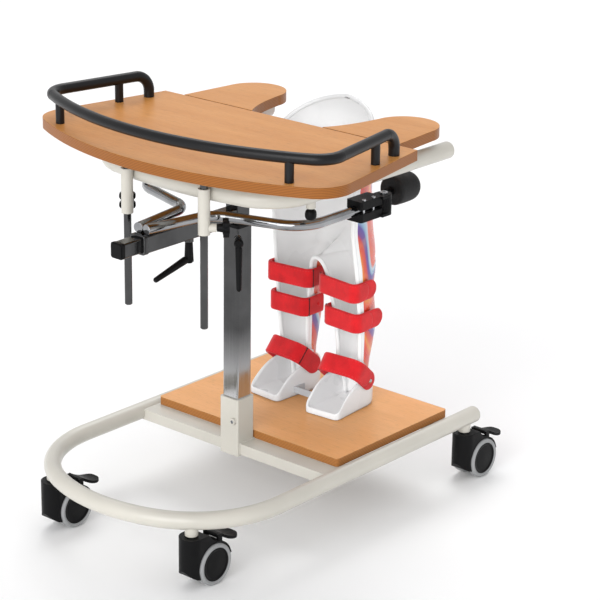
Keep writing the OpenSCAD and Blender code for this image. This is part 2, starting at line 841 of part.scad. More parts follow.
// A pan-head screw that points down from z = 0
module clamp_screw(d, head, l) {
  difference() {
    union() {
      cylinder(d = head, h = 2.4);
      translate([0, 0, -l]) cylinder(d = d, h = l + 1);
    }
    translate([0, 0, 1]) cylinder(d = head*0.5, h = 3, $fn = 6);
  }
}

module clamp_screws() {
  color(steel) both_sides() translate([0, 0, bow_z + clamp_h/2 + seat]) {
    for (y = clamp_screw_y)
      translate([bow_half + clamp_w/2 - 4.5, y, 0]) clamp_screw(screw_d, 7, clamp_h - 2);
    translate([drum_x, drum_y, 0]) clamp_screw(2*pivot_r, 14, clamp_h);
  }
}

// The fluted drum that turns in the clamp's fork, with the rod that carries the bolster
module bolster_drum() {
  flutes = 20;
  rod_turn = atan2(crank[1] - drum_y, crank[0] - drum_x);
  color(black) difference() {
    union() {
      translate([drum_x, drum_y, bow_z - drum_h/2]) cylinder(r = drum_r, h = drum_h);
      bar_level([drum_x, drum_y], crank, bow_z, 12);
      translate([crank[0], crank[1], bow_z]) sphere(d = 13.4);
      bar_y(crank[0], crank[1], crank[1] + 9 + bolster_l - 16, bow_z, 12);
    }
    translate([drum_x, drum_y, bow_z - drum_h]) cylinder(r = pivot_r + fit, h = 2*drum_h);
    for (i = [0:flutes - 1]) if (abs(i*360/flutes - rod_turn) > 30)
      translate([drum_x, drum_y, bow_z]) rotate([0, 0, i*360/flutes])
        translate([drum_r + 0.4, 0, 3 - drum_h/2]) cylinder(r = 1.2, h = drum_h - 6);
  }
}

// A foam roll with a round end, along +Y
module bolster_pad() {
  r = bolster_d/2;
  hole = 6 + soft_gap/2;
  color(black) translate([crank[0], drum_y + pad_back, bow_z])
    rotate([-90, 0, 0]) rotate_extrude() difference() {
    polygon(concat(
      [[0, 0]], arc([r - 5, 5], 5, -90, 0, 6),
      arc([r - 20, bolster_l - 20], 20, 0, 90, 10), [[0, bolster_l]]));
    translate([-1, -1]) square([hole + 1, bolster_l - 13]);
  }
}

module frame_path(d, extra) {
  u_bend(frame_bend, frame_front, frame_front_r, frame_corner_r, d, frame_z);
  both_sides() bar_y(frame_half, frame_bend[1] - lap, seam_at + extra, frame_z, d - slim);
}

// The front bend of the table tube, with the lugs of the handle clamps below it
module table_frame() {
  inside = tube_d - 2*tube_wall;
  color(cream) difference() {
    union() {
      frame_path(tube_d, 0);
      both_sides() translate([frame_half, lug_y, frame_z - tube_r - 9]) cylinder(d = 16, h = tube_r + 4);
    }
    frame_path(inside, 1);
    both_sides() translate([frame_half, lug_y, frame_z - tube_r - 10]) cylinder(d = 6 + 2*fit, h = tube_r);
  }
}

module push_handles() {
  inside = tube_d - 2*tube_wall;
  spigot = frame_bend[1] + 2;
  color(cream) both_sides() difference() {
    union() {
      bar_y(frame_half, seam_at + seat, handle_end, frame_z, tube_d);
      bar_y(frame_half, spigot, 0, frame_z, inside - slim - 2*fit);
    }
    bar_y(frame_half, 0, handle_end + 1, frame_z, inside);
    bar_y(frame_half, spigot - 1, -4, frame_z, inside - 8);
    translate([frame_half, lug_y, frame_z - tube_r]) cylinder(d = 8, h = tube_r);
    translate([frame_half, handle_end - grip_l, frame_z]) rotate([90, 0, 0]) rotate_extrude()
      translate([tube_r - 0.3, 0]) square([2, 2]);
  }
}

module handle_caps() {
  color(cream) both_sides() translate([frame_half, handle_end, frame_z]) tube_plug();
}

// The bar between the side runs of the table tube, on top of the mast
module frame_crossbar() {
  w = 40;
  color(cream) difference() {
    translate([-frame_half, -w/2, frame_z - bar_h/2]) cube([2*frame_half, w, bar_h]);
    translate([-frame_half - 1, 2 - w/2, frame_z - bar_h/2 + 2]) cube([2*frame_half + 2, w - 4, bar_h - 4]);
    both_sides() bar_y(frame_half, -w, w, frame_z, tube_d + 2*seat);
  }
}

// The near rod sleeve's own place, with X along its clamp screw
module at_rod(side) {
  translate([side*rod_x, rod_y, 0]) rotate([0, 0, 90 - side*(90 - knob_a)]) children();
}

module rod_sleeves() {
  color(cream) for (side = [-1, 1]) at_rod(side) difference() {
    union() {
      translate([0, 0, rod_sleeve_z]) cylinder(d = rod_sleeve_d, h = rod_sleeve_l);
      translate([0, 0, knob_z]) rotate([0, 90, 0]) cylinder(d = 14, h = boss_end);
    }
    translate([0, 0, rod_sleeve_z - 1]) cylinder(d = rod_d + 2*fit, h = rod_sleeve_l + 2);
    translate([0, 0, knob_z]) rotate([0, 90, 0]) cylinder(d = 6 + 2*fit, h = boss_end + 1);
  }
}

// A star grip on its screw: the screw points to -X, the lobes stand at +X
module star_knob(tip) {
  lobes = 4;
  color(black) rotate([0, 90, 0]) {
    translate([0, 0, tip]) cylinder(d = 6, h = boss_end + 2 - tip);
    translate([0, 0, boss_end + 0.6]) cylinder(d1 = 12, d2 = 16, h = 11);
    translate([0, 0, boss_end + 10]) cylinder(r = 11, h = 11);
    for (i = [0:lobes - 1]) rotate([0, 0, 45 + i*360/lobes]) translate([11, 0, boss_end + 10.5])
      cylinder(r = 6.2, h = 9.5);
  }
}

module star_knob_on(side) {
  at_rod(side) translate([0, 0, knob_z]) star_knob(rod_d/2 + 0.35);
}

module star_knob_near() {
  star_knob_on(1);
}

module star_knob_far() {
  star_knob_on(-1);
}

// A round grip below a handle lug, on its upright screw
module handle_knob(side) {
  z = frame_z - tube_r - 9;
  color(black) translate([side*frame_half, lug_y, z]) {
    translate([0, 0, -2]) cylinder(d = 6, h = 14);
    translate([0, 0, -20.5]) rotate_extrude() polygon(concat(
      [[0, 20], [6, 20]], bezier([6, 18], [9.6, 16], [9.6, 10], 5),
      bezier([9.6, 9], [9.6, 2], [5, 0.6], 6), [[0, 0]]));
  }
}

module handle_knob_near() {
  handle_knob(1);
}

module handle_knob_far() {
  handle_knob(-1);
}

// A cranked clamp lever: the screw points to -X, the hub stands at +X and the arm hangs along -Z
module clamp_lever(tip, stand, hub_l, out, reach) {
  r0 = 6.5;
  r1 = 4.6;
  bend = [stand + hub_l - 5, 0, -10];
  end = [stand + hub_l + out, 0, -reach];
  rotate([0, 90, 0]) {
    translate([0, 0, tip]) cylinder(d = 6, h = stand - tip + 2);
    translate([0, 0, stand + 0.5]) cylinder(d1 = 13, d2 = 16, h = hub_l - 2);
    translate([0, 0, stand + hub_l - 2]) cylinder(d1 = 16, d2 = 11, h = 3);
  }
  v = end - bend;
  l = norm(v);
  quarter = [for (i = [0:6]) 15*i];
  low = [for (a = quarter) [r0*sin(a), -r0*cos(a)]];
  outline = concat(low, [for (a = quarter) [r1*cos(a), l + r1*sin(a)]]);
  translate(bend) rotate([0, acos(v[2]/l), 0]) rotate_extrude() polygon(outline);
}

module column_lever() {
  color(black) at_column_lever() clamp_lever(mast_w/2*sqrt(2) + 0.6, lever_stand + 6, 20, 6, lever_l);
}

// The arm's clamp lever hangs below the sleeve and points forward
module arm_lever() {
  color(black) translate([0, arm_lever_y, arm_z]) rotate([0, 90, 0]) rotate([-90, 0, 0])
    clamp_lever(arm_w/2 + 0.4, sleeve_w/2 + 8, 36, 12, arm_lever_l);
}

// Table outline, moved in by a distance
function table_edge(inset) = let (
    start = board_corner + inset*side_in,
    side = concat([[start[0] + (start[1] - board_back)*board_flare, board_back]],
      arc(corner_c, board_corner_r - inset, corner_a0, corner_a1, 14)),
    turned = [for (i = [len(side) - 1:-1:0]) other(side[i])])
  concat(side, arc(front_c, board_front_r - inset, corner_a1, -180 - corner_a1, 40), turned);

// Screw places under the table: the rod flanges, the rail feet and the wing plates
module at_flange_screws() {
  both_sides() for (a = [30, 150, 270])
    translate([rod_x, rod_y, board_z] + 16*[cos(a), sin(a), 0]) children();
}

module at_rail_feet() {
  both_sides() for (p = [side_post, rail_end, front_post]) translate([p[0], p[1], board_z]) children();
}

module at_wing_plates() {
  both_sides() for (x = plate_x) translate([x, wing_y - wing_gap/2, board_z]) children();
}

module at_wing_screws() {
  at_wing_plates() for (y = [-30, -15, 15, 30]) translate([0, y, 0]) children();
}

module screw_holes() {
  at_flange_screws() translate([0, 0, -1]) cylinder(d = screw_d + 2*seat, h = screw_l + 1.5);
  at_wing_screws() translate([0, 0, -1]) cylinder(d = screw_d + 2*seat, h = screw_l + 1.5);
  at_rail_feet() translate([0, 0, -1]) cylinder(d = rail_screw_d + 2*seat, h = board_t + 2);
}

module table_board() {
  color(beech) difference() {
    translate([0, 0, board_z]) linear_extrude(board_t) polygon(table_edge(0));
    screw_holes();
  }
}

module wing() {
  color(beech) difference() {
    translate([0, 0, board_z]) linear_extrude(board_t) polygon(concat(
      bezier([wing_in, wing_y], [wing_in + 24, wing_y + 34], wing_c - [wing_end_r, 0], 8),
      arc(wing_c, wing_end_r, 180, 0, 24), [[wing_out, wing_y]]));
    screw_holes();
  }
}

module wing_near() {
  wing();
}

module wing_far() {
  mirror([1, 0, 0]) wing();
}

module wing_plates() {
  color(steel) difference() {
    at_wing_plates() translate([-wing_plate[0]/2, -wing_plate[1]/2, -wing_plate[2]]) cube(wing_plate);
    at_wing_screws() translate([0, 0, -wing_plate[2] - 1]) cylinder(d = screw_d + 2*seat, h = 6);
  }
}

// A pan-head screw from below, its head under a plate of thickness t
module up_screw(d, t, l) {
  translate([0, 0, -t - 2.4 - seat]) cylinder(d = 2*d, h = 2.4);
  translate([0, 0, -t - 1]) cylinder(d = d, h = l + t + 1);
}

module table_screws() {
  color(steel) {
    at_flange_screws() up_screw(screw_d, flange_t, screw_l);
    at_wing_screws() up_screw(screw_d, wing_plate[2], screw_l);
    at_rail_feet() up_screw(rail_screw_d, 0, board_t + 14);
  }
}

// The rods under the table, each with its flange and collar
module table_rods() {
  color(chrome) difference() {
    both_sides() translate([rod_x, rod_y, 0]) {
      translate([0, 0, rod_tip_z + 1.5]) cylinder(d = rod_d, h = board_z - rod_tip_z - 1.5);
      translate([0, 0, rod_tip_z]) cylinder(d1 = rod_d - 3, d2 = rod_d, h = 1.5);
      translate([0, 0, board_z - flange_t]) cylinder(r = flange_r, h = flange_t);
      translate([0, 0, board_z - flange_t - 5]) cylinder(d = rod_d + 7, h = 5.5);
    }
    at_flange_screws() translate([0, 0, -flange_t - 1]) cylinder(d = screw_d + 2*seat, h = flange_t + 2);
  }
}

// One side of the grab rail: corner bend, side run, bent end and two posts
module rail_side_run() {
  back = -side_dir;
  r = board_corner_r - rail_inset;
  start = corner_c + r*[cos(corner_a0), sin(corner_a0)];
  stop = rail_end - rail_end_r*back;
  level_bend([corner_c[0], corner_c[1], rail_z], r, corner_a1, corner_a0 - corner_a1, rail_d);
  bar_level(start - lap*back, stop + lap*back, rail_z, rail_d - slim);
  translate([stop[0], stop[1], rail_z - rail_end_r])
    rotate([0, 0, atan2(back[1], back[0])]) rotate([90, 0, 0])
    rotate_extrude(angle = 90) translate([rail_end_r, 0]) circle(d = rail_d);
  translate([rail_end[0], rail_end[1], table_top]) cylinder(d = rail_d - slim, h = rail_h - rail_end_r + lap);
  for (p = [side_post, front_post]) translate([p[0], p[1], table_top]) cylinder(d = post_d, h = rail_h);
}

module grab_rail() {
  color(black) difference() {
    union() {
      both_sides() rail_side_run();
      front_bend([front_c[0], front_c[1], rail_z], board_front_r - rail_inset, 90 + corner_a1, rail_d);
    }
    at_rail_feet() cylinder(d = rail_screw_d + 2*seat, h = board_t + 15);
  }
}

// Castor hood seen from the side: y is forward-and-back from the stem, z is the height
module hood_profile() {
  front = -hood_w/2;
  open_z = wheel_r + 8;
  difference() {
    union() {
      translate([trail, wheel_r]) circle(r = hood_r);
      polygon([[front, 8], [trail, 8], [trail, wheel_r + hood_r - 1], [20, hood_top], [front, hood_top]]);
    }
    polygon([
      [front - 1, 0], [front - 1, 38], [front, 35], [front + 5, 27], [front + 14, 21],
      [front + 28, 17], [trail, 15], [trail, 0]]);
    translate([trail - 2*hood_r, -2*hood_r]) square([4*hood_r, 2*hood_r + 8.5]);
    translate([trail, -hood_r]) square([2*hood_r, hood_r + open_z]);
  }
}

// Castor hood seen from above: round about the stem, straight along the wheels
module hood_plan() {
  r = hood_w/2;
  polygon(concat(arc([0, 0], r, 180, 360, 30), [[r, trail + 2*hood_r], [-r, trail + 2*hood_r]]));
}

module along_axle(w) {
  rotate([90, 0, 90]) translate([0, 0, -w/2]) linear_extrude(w) children();
}

module caster_hood() {
  hub_r = 13;
  color(black) difference() {
    union() {
      difference() {
        intersection() {
          along_axle(hood_w) hood_profile();
          linear_extrude(3*hood_r) hood_plan();
        }
        along_axle(2*hood_w) translate([trail, wheel_r]) circle(r = cavity_r);
      }
      along_axle(web_w) {
        translate([trail, wheel_r]) circle(r = hub_r);
        polygon([
          [-stem_d, hood_top - 2], [18, hood_top - 2],
          [trail + 10, wheel_r + cavity_r - 2], [trail + hub_r, wheel_r],
          [trail - hub_r, wheel_r - 4], [-stem_d, hood_top - 32]]);
      }
      difference() {
        both_sides() translate([ear_in, pedal_pivot[0] - 5, wheel_r])
          cube([ear_t, 10, pedal_pivot[1] - wheel_r + 4]);
        along_axle(2*hood_w) translate([trail, wheel_r]) circle(r = cavity_r + 0.5);
      }
    }
    translate([0, 0, hood_top - 28.5]) cylinder(d = stem_d + 2*fit, h = 40);
    along_axle(2*hood_w) translate([trail, wheel_r]) circle(r = 4 + fit);
    along_axle(2*hood_w) translate(pedal_pivot) circle(r = 2 + fit);
  }
}

// Two hubs with their dished caps on one axle
module caster_wheels() {
  r = wheel_r - tread_t - seat;
  w0 = web_w/2 + 1;
  w1 = caster_w/2 - 1;
  color(black) translate([0, trail, wheel_r]) {
    rotate([0, 90, 0]) cylinder(r = 4, h = 2*w0 + 4, center = true);
    both_sides() rotate([0, 90, 0]) rotate_extrude() polygon([
      [0, w0], [12, w0], [12, w0 + 3], [r, w0 + 3],
      [r, w1 - 1], [r - 1, w1], [r - 3, w1 - 0.5], [r - 5, w1 - 1.5],
      [6, w1 - 0.6], [0, w1 - 0.4]]);
  }
}

module caster_tyres() {
  r0 = wheel_r - tread_t;
  w0 = web_w/2 + 2;
  w1 = caster_w/2;
  color(grey) translate([0, trail, wheel_r]) both_sides() rotate([0, 90, 0]) rotate_extrude() polygon(concat(
    [[r0, w0], [wheel_r - 2, w0], [wheel_r, w0 + 2]],
    arc([wheel_r - 4, w1 - 4], 4, 0, 90, 6), [[r0, w1 - 1.5]]));
}

// The brake pedal: a hub between the hood's ears, a neck and a wide tread
module caster_pedal() {
  p = pedal_pivot;
  tip = pedal_reach;
  color(black) {
    along_axle(2*ear_in - 0.8) translate(p) circle(r = 4);
    along_axle(2*(ear_in + ear_t)) translate(p) circle(r = 2);
    intersection() {
      along_axle(hood_w) polygon(concat(
        [[p[0], p[1] + 4]], bezier([p[0] + 6, p[1] + 3.4], [tip - 16, p[1] - 14], [tip, p[1] - 9], 8),
        bezier([tip, p[1] - 12.5], [tip - 16, p[1] - 19], [p[0] + 6, p[1] - 2.6], 8), [[p[0], p[1] - 2]]));
      union() {
        translate([0.4 - ear_in, 0, 0]) cube([2*ear_in - 0.8, p[0] + 12, 200]);
        translate([0, (p[0] + 7 + tip)/2, 0]) linear_extrude(200)
          polygon(round_rect(hood_w - 5, tip - p[0] - 7, 14));
      }
    }
  }
}

// One castor's own place: left is -X, and the castors trail to the back
module at_caster(side, place) {
  translate([side*place[0], place[1], 0]) children();
}

in_frame() base_tube();
in_frame() base_end_caps();
in_frame() cross_bars();
in_frame() column_socket();
in_frame() base_screws();
in_frame() outer_column();
in_frame() column_glide();
in_frame() foot_plate();
in_frame() caster_stems();
in_frame() standing_shell();
in_frame() foot_troughs();
in_frame() foot_spacer();
in_frame() leg_straps();
in_frame() strap_rivets();
in_frame() inner_mast();
in_frame() mast_foot();
in_frame() arm_rail();
in_frame() arm_cap();
in_frame() table_frame();
in_frame() push_handles();
in_frame() handle_caps();
in_frame() frame_crossbar();
in_frame() rod_sleeves();
in_frame() column_lever();
in_frame() arm_lever();
in_frame() star_knob_near();
in_frame() star_knob_far();
in_frame() handle_knob_near();
in_frame() handle_knob_far();
in_frame() bow_sleeve();
in_frame() bow_tubes();
in_frame() clamp_blocks();
in_frame() clamp_screws();
in_frame() bolster_drum();  // bolster_drum_near
in_frame() mirror([1, 0, 0]) bolster_drum();  // bolster_drum_far
in_frame() bolster_pad();  // bolster_pad_near
in_frame() mirror([1, 0, 0]) bolster_pad();  // bolster_pad_far
in_frame() table_board();
in_frame() wing_near();
in_frame() wing_far();
in_frame() wing_plates();
in_frame() table_screws();
in_frame() table_rods();
in_frame() grab_rail();
in_frame() at_caster(-1, front_caster) caster_hood();  // caster_fl_hood
in_frame() at_caster(-1, front_caster) caster_wheels();  // caster_fl_wheels
in_frame() at_caster(-1, front_caster) caster_tyres();  // caster_fl_tyres
in_frame() at_caster(-1, front_caster) caster_pedal();  // caster_fl_pedal
in_frame() at_caster(1, front_caster) caster_hood();  // caster_fr_hood
in_frame() at_caster(1, front_caster) caster_wheels();  // caster_fr_wheels
in_frame() at_caster(1, front_caster) caster_tyres();  // caster_fr_tyres
in_frame() at_caster(1, front_caster) caster_pedal();  // caster_fr_pedal
in_frame() at_caster(-1, rear_caster) caster_hood();  // caster_rl_hood
in_frame() at_caster(-1, rear_caster) caster_wheels();  // caster_rl_wheels
in_frame() at_caster(-1, rear_caster) caster_tyres();  // caster_rl_tyres
in_frame() at_caster(-1, rear_caster) caster_pedal();  // caster_rl_pedal
in_frame() at_caster(1, rear_caster) caster_hood();  // caster_rr_hood
in_frame() at_caster(1, rear_caster) caster_wheels();  // caster_rr_wheels
in_frame() at_caster(1, rear_caster) caster_tyres();  // caster_rr_tyres
in_frame() at_caster(1, rear_caster) caster_pedal();  // caster_rr_pedal
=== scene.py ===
"""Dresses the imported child's standing frame: finishes, soft pieces, welds, studio and camera."""
import json
import logging
import math
from dataclasses import dataclass, field
from enum import Enum
from typing import Any, Callable, Iterable, Optional, Sequence

import bpy
from mathutils import Matrix, Vector


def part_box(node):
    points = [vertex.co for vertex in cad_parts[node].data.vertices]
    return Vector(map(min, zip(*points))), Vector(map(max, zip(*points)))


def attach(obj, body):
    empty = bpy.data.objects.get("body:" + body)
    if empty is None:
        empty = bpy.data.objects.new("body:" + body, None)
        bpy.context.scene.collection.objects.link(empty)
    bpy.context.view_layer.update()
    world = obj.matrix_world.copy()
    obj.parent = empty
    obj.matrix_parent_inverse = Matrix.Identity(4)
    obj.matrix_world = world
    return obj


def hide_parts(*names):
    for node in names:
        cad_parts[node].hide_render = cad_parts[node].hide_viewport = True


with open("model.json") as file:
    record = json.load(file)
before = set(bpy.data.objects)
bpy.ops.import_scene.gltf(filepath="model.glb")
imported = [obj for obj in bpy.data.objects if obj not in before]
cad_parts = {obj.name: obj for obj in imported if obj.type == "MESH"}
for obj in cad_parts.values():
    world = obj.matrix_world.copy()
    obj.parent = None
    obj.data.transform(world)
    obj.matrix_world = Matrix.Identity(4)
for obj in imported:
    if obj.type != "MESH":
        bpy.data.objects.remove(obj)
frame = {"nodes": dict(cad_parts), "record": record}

LOG = logging.getLogger("standing_frame")
MM = 0.001
SHIFT_Y = (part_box("column_glide")[0].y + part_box("column_glide")[1].y) / 2 / MM
PLATE_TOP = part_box("foot_plate")[1].z / MM
Colour = tuple[float, float, float]
Table = Sequence[tuple[float, float]]
Skin = tuple[list[Vector], list[list[int]]]
Spot = tuple[Vector, Vector]
Piece = bpy.types.Object
Material = bpy.types.Material
Tree = bpy.types.NodeTree
Node = bpy.types.Node
Socket = bpy.types.NodeSocket


def place(x: float, y: float, z: float) -> Vector:
    """Turns millimetres from the column's axis into metres in the row frame.

    Args:
        x: Distance to the near side.
        y: Distance to the back.
        z: Height over the floor.

    Returns:
        The point in the row frame.
    """
    return Vector((x * MM, (y + SHIFT_Y) * MM, z * MM))


def lookup(value: float, table: Table) -> float:
    """Reads a table by straight lines between its points.

    Args:
        value: Where to read.
        table: Pairs of place and value, in rising order.

    Returns:
        The value there, held at both ends.
    """
    if value <= table[0][0]:
        return table[0][1]
    for (x0, y0), (x1, y1) in zip(table, table[1:]):
        if value <= x1:
            return y0 + (y1 - y0) * (value - x0) / (x1 - x0)
    return table[-1][1]


def smooth_lookup(value: float, table: Table, reach: float = 0.03) -> float:
    """Reads a table with its corners rounded off.

    Args:
        value: Where to read.
        table: Pairs of place and value, in rising order.
        reach: Half the width of the rounding.

    Returns:
        A weighted mean of the table around that place.
    """
    weights = (1, 3, 5, 6, 5, 3, 1)
    total = sum(w * lookup(value + reach * (i - 3) / 3, table) for i, w in enumerate(weights))
    return total / sum(weights)


def ease(value: float, low: float, high: float) -> float:
    """A smooth step from 0 at low to 1 at high."""
    t = min(1.0, max(0.0, (value - low) / (high - low)))
    return t * t * (3 - 2 * t)


def tint(colour: Colour, factor: float, limit: float = 1.0) -> Colour:
    """A colour made lighter or darker, with each part held under a limit."""
    return tuple(min(limit, c * factor) for c in colour)


def link(name: str, data: bpy.types.ID) -> Piece:
    """Makes an object from its data and links it to the scene."""
    made = bpy.data.objects.new(name, data)
    bpy.context.scene.collection.objects.link(made)
    return made


class Side(Enum):
    """The two sides of the frame, as the camera sees them."""

    NEAR = 1
    FAR = -1

    @property
    def word(self) -> str:
        """The side's name in piece and body names."""
        return self.name.lower()


class Body(Enum):
    """Bodies of the frame that carry pieces made here."""

    BASE = "base"
    MAST = "mast"


class Shade:
    """Adds and links the nodes of one shader tree."""

    def __init__(self, tree: Tree) -> None:
        """Keeps the tree that the nodes go into."""
        self.tree = tree

    def feed(self, socket: Socket, value: Any) -> None:
        """Links a socket, or sets its value.

        Args:
            socket: The input socket.
            value: Another node's output, or a plain value.
        """
        if isinstance(value, Socket):
            self.tree.links.new(value, socket)
        else:
            socket.default_value = value

    def fill(self, node: Node, **inputs: Any) -> Node:
        """Feeds a node's inputs by name, with _ for a space, and returns the node."""
        for key, value in inputs.items():
            self.feed(node.inputs[key.replace("_", " ")], value)
        return node

    def node(self, kind: str, settings: Optional[dict[str, Any]] = None, **inputs: Any) -> Node:
        """Adds a node.

        Args:
            kind: The node's type.
            settings: Properties of the node.
            **inputs: Its inputs by name, with _ for a space.

        Returns:
            The new node.
        """
        made = self.tree.nodes.new(kind)
        for key, value in (settings or {}).items():
            setattr(made, key, value)
        return self.fill(made, **inputs)

    def math(self, operation: str, *values: Any, clamp: bool = False) -> Socket:
        """Adds a Math node and returns its output."""
        made = self.node("ShaderNodeMath", {"operation": operation, "use_clamp": clamp})
        for socket, value in zip(made.inputs, values):
            self.feed(socket, value)
        return made.outputs[0]

    def dot(self, first: Any, second: Any) -> Socket:
        """Adds the dot product of two vectors and returns its value."""
        made = self.node("ShaderNodeVectorMath", {"operation": "DOT_PRODUCT"})
        for socket, value in zip(made.inputs, (first, second)):
            self.feed(socket, value)
        return made.outputs["Value"]

    def mix(self, factor: Any, first: Any, second: Any) -> Socket:
        """Mixes two colours and returns the result."""
        made = self.node("ShaderNodeMix", {"data_type": "RGBA"})
        for index, value in ((0, factor), (6, first), (7, second)):
            if isinstance(value, tuple) and len(value) == 3:
                value = (*value, 1.0)
            self.feed(made.inputs[index], value)
        return made.outputs[2]

    def span(self, value: Any, low: float, high: float, to_low: float = 0.0, to_high: float = 1.0) -> Socket:
        """Maps a value from one range to another, held at both ends."""
        return self.node("ShaderNodeMapRange", Value=value, From_Min=low, From_Max=high,
                         To_Min=to_low, To_Max=to_high).outputs["Result"]

    def ramp(self, factor: Any, stops: Sequence[tuple[float, Colour]]) -> Socket:
        """Turns a value into a colour by a ramp.

        Args:
            factor: The value, 0 to 1.
            stops: Places and colours.

        Returns:
            The ramp's colour output.
        """
        made = self.node("ShaderNodeValToRGB", Fac=factor)
        elements = made.color_ramp.elements
        while len(elements) < len(stops):
            elements.new(0.5)
        for element, (spot, colour) in zip(elements, stops):
            element.position = spot
            element.color = (*colour, 1.0)
        return made.outputs["Color"]

    def noise(self, vector: Any, scale: Any, detail: float = 3.0, rough: float = 0.5) -> Socket:
        """Adds a noise texture and returns its value output."""
        return self.node("ShaderNodeTexNoise", Vector=vector, Scale=scale, Detail=detail,
                         Roughness=rough).outputs[0]

    def stretch(self, vector: Any, scale: tuple[float, float, float]) -> Socket:
        """Scales a coordinate along its axes."""
        return self.node("ShaderNodeMapping", Vector=vector, Scale=scale).outputs[0]

    def coords(self) -> Socket:
        """The piece's own coordinates, in metres."""
        return self.node("ShaderNodeTexCoord").outputs["Object"]

    def normal(self) -> Socket:
        """The surface's normal."""
        return self.node("ShaderNodeNewGeometry").outputs["Normal"]

    def upward(self, vector: Any) -> Socket:
        """The Z part of a vector."""
        return self.node("ShaderNodeSeparateXYZ", Vector=vector).outputs[2]

    def bounced(self) -> Socket:
        """1 for light that a matt surface sent on, 0 for what the camera sees."""
        return self.node("ShaderNodeLightPath").outputs["Is Diffuse Ray"]


class EffectGroups:
    """Shader node groups for effects that several finishes share."""

    def __init__(self) -> None:
        """Builds each group once."""
        self.edge = self._edge()
        self.grain = self._grain()
        self.dust = self._dust()
        self.wood = self._wood()
        self.ply = self._ply()

    @staticmethod
    def _open(name: str, inputs: dict[str, float], outputs: dict[str, str]) -> tuple[Any, Shade, Any, Any]:
        """Starts a group.

        Args:
            name: The group's name.
            inputs: Its float inputs with their defaults.
            outputs: Its outputs with their socket kinds.

        Returns:
            The group, a Shade for it, its inputs and its output node.
        """
        group = bpy.data.node_groups.new(name, "ShaderNodeTree")
        add = group.interface.new_socket
        for key, value in inputs.items():
            add(name=key, in_out="INPUT", socket_type="NodeSocketFloat").default_value = value
        for key, kind in outputs.items():
            add(name=key, in_out="OUTPUT", socket_type=f"NodeSocket{kind}")
        shade = Shade(group)
        return group, shade, shade.node("NodeGroupInput").outputs, shade.node("NodeGroupOutput")

    def _edge(self) -> Tree:
        """Rounded edges and the rubbed line along them."""
        group, s, inp, out = self._open("Edge Wear", {"Radius": 0.001, "Amount": 1.0},
                                        {"Mask": "Float", "Normal": "Vector"})
        bevel = s.node("ShaderNodeBevel", {"samples": 6}, Radius=inp["Radius"]).outputs[0]
        turned = s.math("SUBTRACT", 1.0, s.dot(bevel, s.normal()))
        patchy = s.span(s.noise(s.coords(), 60.0), 0.35, 0.7, 0.2)
        mask = s.math("MULTIPLY", s.span(turned, 0.02, 0.2), patchy)
        s.fill(out, Mask=s.math("MULTIPLY", mask, inp["Amount"], clamp=True), Normal=bevel)
        return group

    def _grain(self) -> Tree:
        """Fine surface grain with a broader drift in tone."""
        group, s, inp, out = self._open("Fine Grain", {"Scale": 800.0, "Drift Scale": 12.0},
                                        {"Height": "Float", "Drift": "Float"})
        spot = s.coords()
        drift = s.noise(spot, inp["Drift Scale"])
        s.fill(out, Height=s.noise(spot, inp["Scale"], 2.0), Drift=s.span(drift, 0.3, 0.7))
        return group

    def _dust(self) -> Tree:
        """A thin film on what faces up."""
        group, s, inp, out = self._open("Dust", {"Amount": 0.1}, {"Mask": "Float"})
        up = s.math("POWER", s.math("MAXIMUM", s.upward(s.normal()), 0.0), 2.0)
        patchy = s.span(s.noise(s.coords(), 35.0, 5.0), 0.35, 0.75, 0.1)
        s.fill(out, Mask=s.math("MULTIPLY", s.math("MULTIPLY", up, patchy), inp["Amount"], clamp=True))
        return group

    def _wood(self) -> Tree:
        """Beech grain that runs from side to side, with short dark flecks."""
        group, s, inp, out = self._open("Beech Grain", {"Scale": 1.0},
                                        {"Tone": "Float", "Fleck": "Float", "Height": "Float"})
        scaled = s.node("ShaderNodeVectorMath", {"operation": "SCALE"}, Scale=inp["Scale"])
        s.feed(scaled.inputs[0], s.coords())
        spot = scaled.outputs[0]
        broad = s.noise(s.stretch(spot, (2.2, 16.0, 16.0)), 1.0, 4.0, 0.55)
        fibre = s.noise(s.stretch(spot, (14.0, 320.0, 320.0)), 1.0, 3.0, 0.6)
        fleck = s.noise(s.stretch(spot, (60.0, 620.0, 620.0)), 1.0, 1.0)
        tone = s.math("ADD", s.math("MULTIPLY", broad, 0.65), s.math("MULTIPLY", fibre, 0.35))
        s.fill(out, Tone=s.span(tone, 0.36, 0.64), Fleck=s.span(fleck, 0.6, 0.72), Height=fibre)
        return group

    def _ply(self) -> Tree:
        """Stripes of a laminated board on its upright edges."""
        group, s, inp, out = self._open("Ply Edge", {"Low": 0.0, "Layer": 0.0016},
                                        {"Edge": "Float", "Stripe": "Float"})
        side = s.span(s.math("ABSOLUTE", s.upward(s.normal())), 0.35, 0.6, 1.0, 0.0)
        wobble = s.math("MULTIPLY", s.noise(s.coords(), 25.0, 2.0), 0.0008)
        height = s.math("ADD", s.math("SUBTRACT", s.upward(s.coords()), inp["Low"]), wobble)
        turn = s.math("MULTIPLY", s.math("DIVIDE", height, inp["Layer"]), math.pi)
        s.fill(out, Edge=side, Stripe=s.span(s.math("SINE", turn), -0.7, 0.7))
        return group


